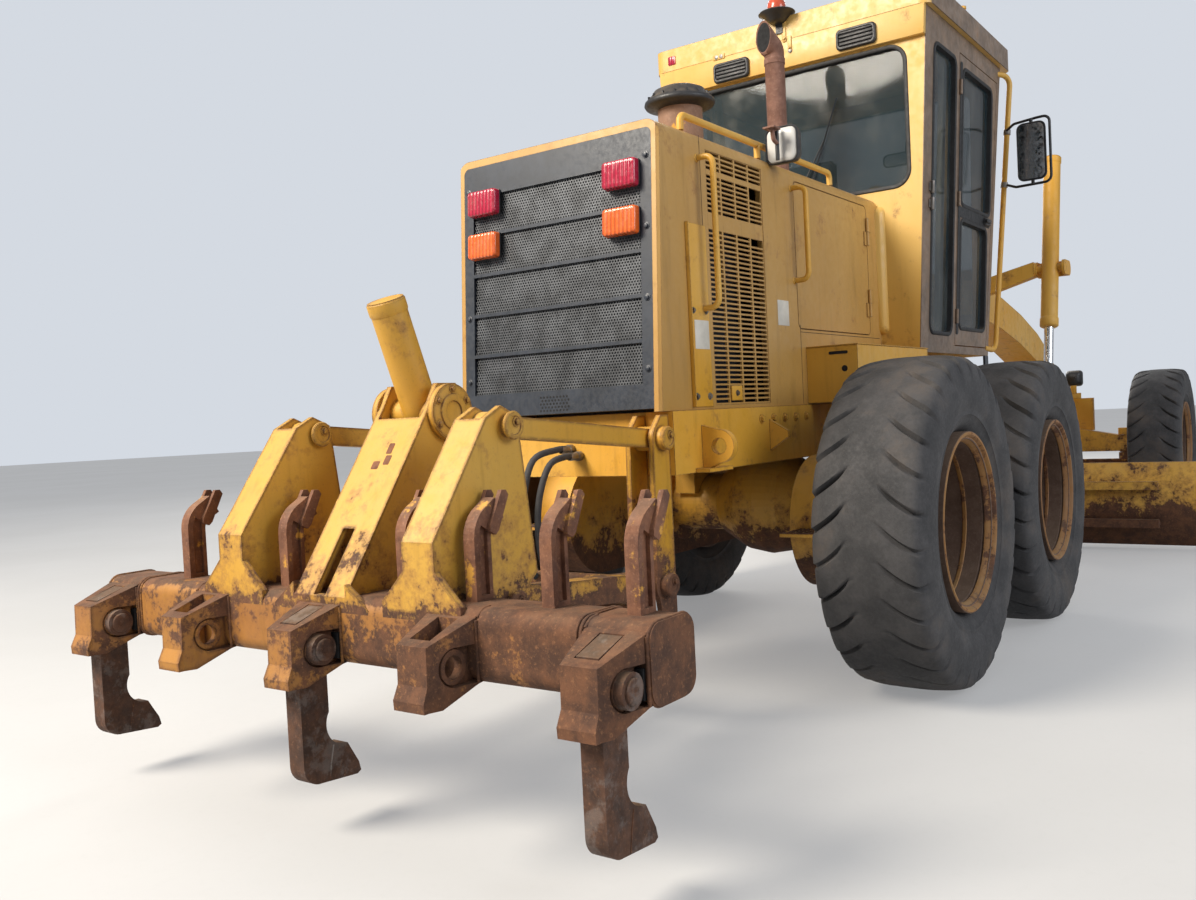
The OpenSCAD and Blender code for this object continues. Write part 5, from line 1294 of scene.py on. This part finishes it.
def add_side_details():
    dark = Piece("box_slot_shade", DARK_INSIDE, "black_paint")
    lids = Piece("box_lids", PAINT, "yellow_paint", bevel=0.003)
    bolts = Piece("frame_bolts", PAINT_FRAME, "yellow_paint")
    for _, s in SIDES:
        back = lambda y, z, d=0.0: at(-0.600 - d, s * y, z)
        # Near-black marks for a slot and a round hole on the side box's rear face: painted shade inside them
        dark.oblong(lambda a, b, d: back(0.640 + a, 1.410 + b, d),
                    ((0.0, 0.045, 0.007, 0.006), (0.0008, 0.045, 0.007, 0.006)))
        dark.cylinder(back(0.668, 1.338), back(0.668, 1.338, 0.0008), 0.014, 20)
        lids.box(at(-0.604, s * (HOOD_HALF + 0.001), 1.4405), at(0.352, s * 0.734, 1.4460))
        for x in (-0.30, 0.02):
            lids.cylinder(at(x - 0.04, s * (HOOD_HALF + 0.010), 1.449), at(x + 0.04, s * (HOOD_HALF + 0.010), 1.449),
                          0.007, 12)
        # Bolts along the frame rail and round the tandem case's pivot
        for k in range(5):
            bolts.bolt(at(-1.10 + 0.11 * k, s * 0.500, 1.135), (0, s, 0), 0.013, 0.010)
        for u, v in turns(PIVOT_BOLTS):
            bolts.bolt(at(PIVOT_R * u, s * 0.780, TYRE_R + PIVOT_R * v), (0, s, 0), 0.012, 0.010)
    for piece in (dark, lids, bolts):
        piece.done()


def add_steps():
    """Toothed treads on the cab steps, and the rusty plates behind the tandem cases."""
    tread = Piece("step_treads", MESH_STEEL, "black_paint", bevel=0.0006)
    rows, row_pitch, teeth_across, tooth_pitch = 5, 0.0375, 11, 0.0200
    for _, s in SIDES:
        for z in (0.550, 0.850, 1.150):
            for k in range(rows):
                x = 1.493 + row_pitch * k
                teeth = [(0.700, 0.0)]
                for m in range(teeth_across):
                    y = 0.704 + tooth_pitch * m
                    teeth += [(y, 0.006), (y + 0.004, 0.016), (y + 0.011, 0.016), (y + 0.015, 0.006)]
                tread.prism(teeth + [(0.922, 0.0)], lambda u, v, d: at(d, s * u, z + v), (x, x + 0.005))
    tread.done()
    grip_pitch = 0.034
    plate = Piece("rear_step_grip", RUST, "rust_steel", bevel=0.0006)
    hole = Piece("rear_step_hole_shade", DARK_INSIDE, "rust_steel")
    for _, s in SIDES:
        for i in range(5):
            for j in range(4):
                c = at(-1.190 + grip_pitch * i, s * (0.640 + grip_pitch * j), 0.670)
                plate.lathe(c, UP, [(0.0135, 0.0), (0.0110, 0.004), (0.0085, 0.004), (0.0075, 0.001)], 14)
                # Near-black disc in each ring of the grip: painted shade in its hole
                hole.cylinder(c, c + UP * 0.0010, 0.0078, 12)
        plate.box(at(-1.2060, s * 0.612, 0.6545), at(-1.2020, s * 0.778, 0.6760))
    plate.done()
    hole.done()


# ---- front: blade, circle, lift cylinders and headlamps

CIRCLE_X, CIRCLE_R, CIRCLE_W = 3.500, 0.765, 0.125
CIRCLE_TEETH = 64
BLADE_HALF = 1.830
EDGE_BOLT_PITCH = 0.152
BLADE_FACE = CIRCLE_X + 0.100 + 0.016
LIFT_Y = 0.690
LIFT_PIN, LIFT_BALL = (3.350, 2.115), (3.100, 1.050)


def add_blade_edges():
    edge = Piece("cutting_edges", BARE, "blade_steel", "moldboard", bevel=0.0012)
    bolts = Piece("edge_bolts", RUST, "blade_steel", "moldboard")
    lengths = (0.0, 0.305, 1.220, 1.830, 2.440, 3.355, 3.660)
    for a, b in zip(lengths, lengths[1:]):
        y0, y1 = a - BLADE_HALF + 0.002, b - BLADE_HALF - 0.002
        edge.prism([(0.000, 0.030), (0.0045, 0.034), (0.0045, 0.176), (0.0, 0.180)],
                   lambda u, v, d: at(BLADE_FACE + u, d, v), (y0, y1))
        count = max(2, round((y1 - y0) / EDGE_BOLT_PITCH))
        for k in range(count):
            y = y0 + (y1 - y0) * (k + 0.5) / count
            bolts.lathe(at(BLADE_FACE + 0.0045, y, 0.128), (1, 0, 0),
                        [(0.018, -0.002), (0.018, 0.0012), (0.014, 0.003), (0.0, 0.0035)], 20)
            bolts.bolt(at(CIRCLE_X + 0.096, y, 0.128), (-1, 0, 0), 0.014, 0.012)
    edge.done()
    bolts.done()


def add_circle_teeth():
    teeth = Piece("circle_teeth", BARE, "rust_steel", "circle", bevel=0.0015)
    inner = CIRCLE_R - CIRCLE_W
    for u, v in turns(CIRCLE_TEETH):
        out, side = Vector((u, v, 0)), Vector((-v, u, 0))
        teeth.prism(((0.002, -0.022), (-0.030, -0.010), (-0.030, 0.010), (0.002, 0.022)),
                    lambda a, b, z: at(CIRCLE_X, 0, 0) + out * (inner + a) + side * b + UP * z, (0.868, 0.932))
    teeth.done()


def add_lift_trim():
    trim = Piece("lift_cylinder_bands", PAINT_FRAME, "yellow_paint", "lift_barrels", smooth=45)
    pin, ball = Vector((LIFT_PIN[0], 0, LIFT_PIN[1])), Vector((LIFT_BALL[0], 0, LIFT_BALL[1]))
    axis = (ball - pin).normalized()
    for _, s in SIDES:
        shift = at(0, s * LIFT_Y, 0)
        up, low = shift + pin - axis * 0.875, shift + pin + axis * 0.450
        trim.lathe(up, axis, [(0.060, 0.004), (0.0645, 0.007), (0.0645, 0.045), (0.060, 0.052)], 40)
        trim.lathe(low, -axis,
                   [(0.034, -0.006), (0.050, -0.006), (0.0600, 0.000), (0.0650, 0.006), (0.0650, 0.060),
                    (0.060, 0.068)], 40)
        back = axis.cross(Vector((0, 1, 0))).normalized()
        line = [up + axis * u + back * v for u, v in ((0.070, 0.060), (0.070, 0.084), (0.60, 0.084), (0.60, 0.064))]
        trim.tube(round_corners(line, 0.020, 4), 0.008, 10)
        for t in (0.22, 0.45):
            half = Vector((0.012, 0.014, 0.012))
            trim.box(up + axis * t + back * 0.056 - half, up + axis * t + back * 0.090 + half)
    trim.done()


def add_headlamps():
    """Two lamps on a bracket over the nose of the front frame."""
    mount = Piece("headlamp_bracket", PAINT_FRAME, "yellow_paint", "front", bevel=0.003)
    mount.box(at(6.150, -0.330, 1.120), at(6.165, 0.330, 1.175))
    mount.box(at(6.165, -0.030, 1.112), at(6.245, 0.030, 1.124))
    for _, s in SIDES:
        mount.box(at(6.148, s * 0.235, 1.170), at(6.166, s * 0.290, 1.250))
    mount.done()
    for name, s in SIDES:
        place = lambda a, b, d: at(6.190 + d, s * 0.262 + a, 1.320 + b)
        square = lambda *steps: [(d, w, w, r) for d, w, r in steps]
        lamp("headlamp_%s_" + name, "black_paint", "front", place,
             square((-0.050, 0.026, 0.018), (-0.038, 0.056, 0.028), (-0.006, 0.074, 0.032), (0.028, 0.079, 0.032),
                    (0.036, 0.078, 0.032), (0.038, 0.073, 0.030), (0.030, 0.070, 0.028)),
             square((0.030, 0.070, 0.028), (0.020, 0.052, 0.024), (0.014, 0.018, 0.010)),
             square((0.031, 0.070, 0.028), (0.037, 0.067, 0.026), (0.039, 0.046, 0.020)),
             (place(-0.020, 0, -0.076), place(-0.020, 0, -0.060), 0.014))


# ---- materials of the CAD nodes; a node that isn't named here has the frame's paint

NODE_MATERIALS = {
    PAINT: ("side_boxes", "handrails"),
    PAINT_HOOD_SHADED: ("hood", "hood_door_left", "hood_door_right", "louvre_panels"),
    PAINT_CAB: ("cab_shell", "cab_door_left", "cab_door_right"),
    PAINT_ROOF: ("cab_roof",),
    PAINT_TOWER: ("ripper_arms", "ripper_links", "ripper_barrel", "ripper_towers", "ripper_hangers"),
    PAINT_BEAM: ("ripper_beam",),
    PAINT_BLADE: ("moldboard",),
    RUST: ("ripper_shanks",),
    RUST_SCARIFIER: ("scarifier_shanks",),
    RUST_STACK: ("exhaust_stack",),
    BLACK: ("grille", "engine_block", "steps", "mirrors", "operator_station", "pre_cleaner", "lamps"),
    CHROME: ("lift_rods", "ripper_rod"),
    GLASS: ("cab_glass", "door_glass_left", "door_glass_right"),
    CLOTH: ("seat_cushions",),
    RIM_STEEL: tuple(f"rim_{a}_{s}" for a in WHEELS for s, _ in SIDES),
    RUBBER: tuple(f"tyre_{a}_{s}" for a in WHEELS for s, _ in SIDES),
}


def dress_nodes():
    chosen = {name: material for material, names in NODE_MATERIALS.items() for name in names}
    for name, node in NODES.items():
        node.data.materials.clear()
        node.data.materials.append(chosen.get(name, PAINT_FRAME))


def add_studio():
    world = bpy.context.scene.world = bpy.data.worlds.new("studio")
    world.use_nodes = True
    tree = world.node_tree
    sky = tree.nodes["Background"]
    sky.inputs["Color"].default_value = (0.80, 0.84, 0.90, 1)
    sky.inputs["Strength"].default_value = 0.50
    seen, pale, both = (tree.nodes.new("ShaderNode" + kind) for kind in ("LightPath", "Background", "MixShader"))
    pale.inputs["Color"].default_value = (0.66, 0.70, 0.76, 1)
    tree.links.new(seen.outputs["Is Camera Ray"], both.inputs[0])
    tree.links.new(sky.outputs[0], both.inputs[1])
    tree.links.new(pale.outputs[0], both.inputs[2])
    tree.links.new(both.outputs[0], tree.nodes["World Output"].inputs["Surface"])
    bm = bmesh.new()
    bmesh.ops.create_circle(bm, cap_ends=True, radius=70, segments=96)
    floor = add_object("floor", to_mesh(bm, "floor"))
    floor.data.materials.append(floor_material())
    area_light("key", (-10.5, 3.5, 8.0), (-2.5, 0, 1.2), 5.0, 2000, (1.0, 0.92, 0.80))
    area_light("side", (-3.0, -12.0, 6.0), (-1.0, 0, 1.3), 7.0, 700, (0.92, 0.95, 1.0))
    area_light("front", (11.0, 6.0, 7.0), (1.0, 0, 1.0), 7.0, 1100, (1.0, 0.97, 0.92))
    bpy.context.scene.view_settings.view_transform = "Standard"


for step in (add_camera, add_studio, dress_nodes, add_wheels, add_grille, add_lamps, add_hood_trim, add_shade_cores,
             add_stack_and_cleaner, add_rails, add_mirrors, add_cab_rubber, add_roof_fittings, add_cab_inside,
             add_seat, add_ripper_fittings, add_ripper_hoses, add_side_details, add_steps, add_blade_edges,
             add_circle_teeth, add_lift_trim, add_headlamps):
    step()
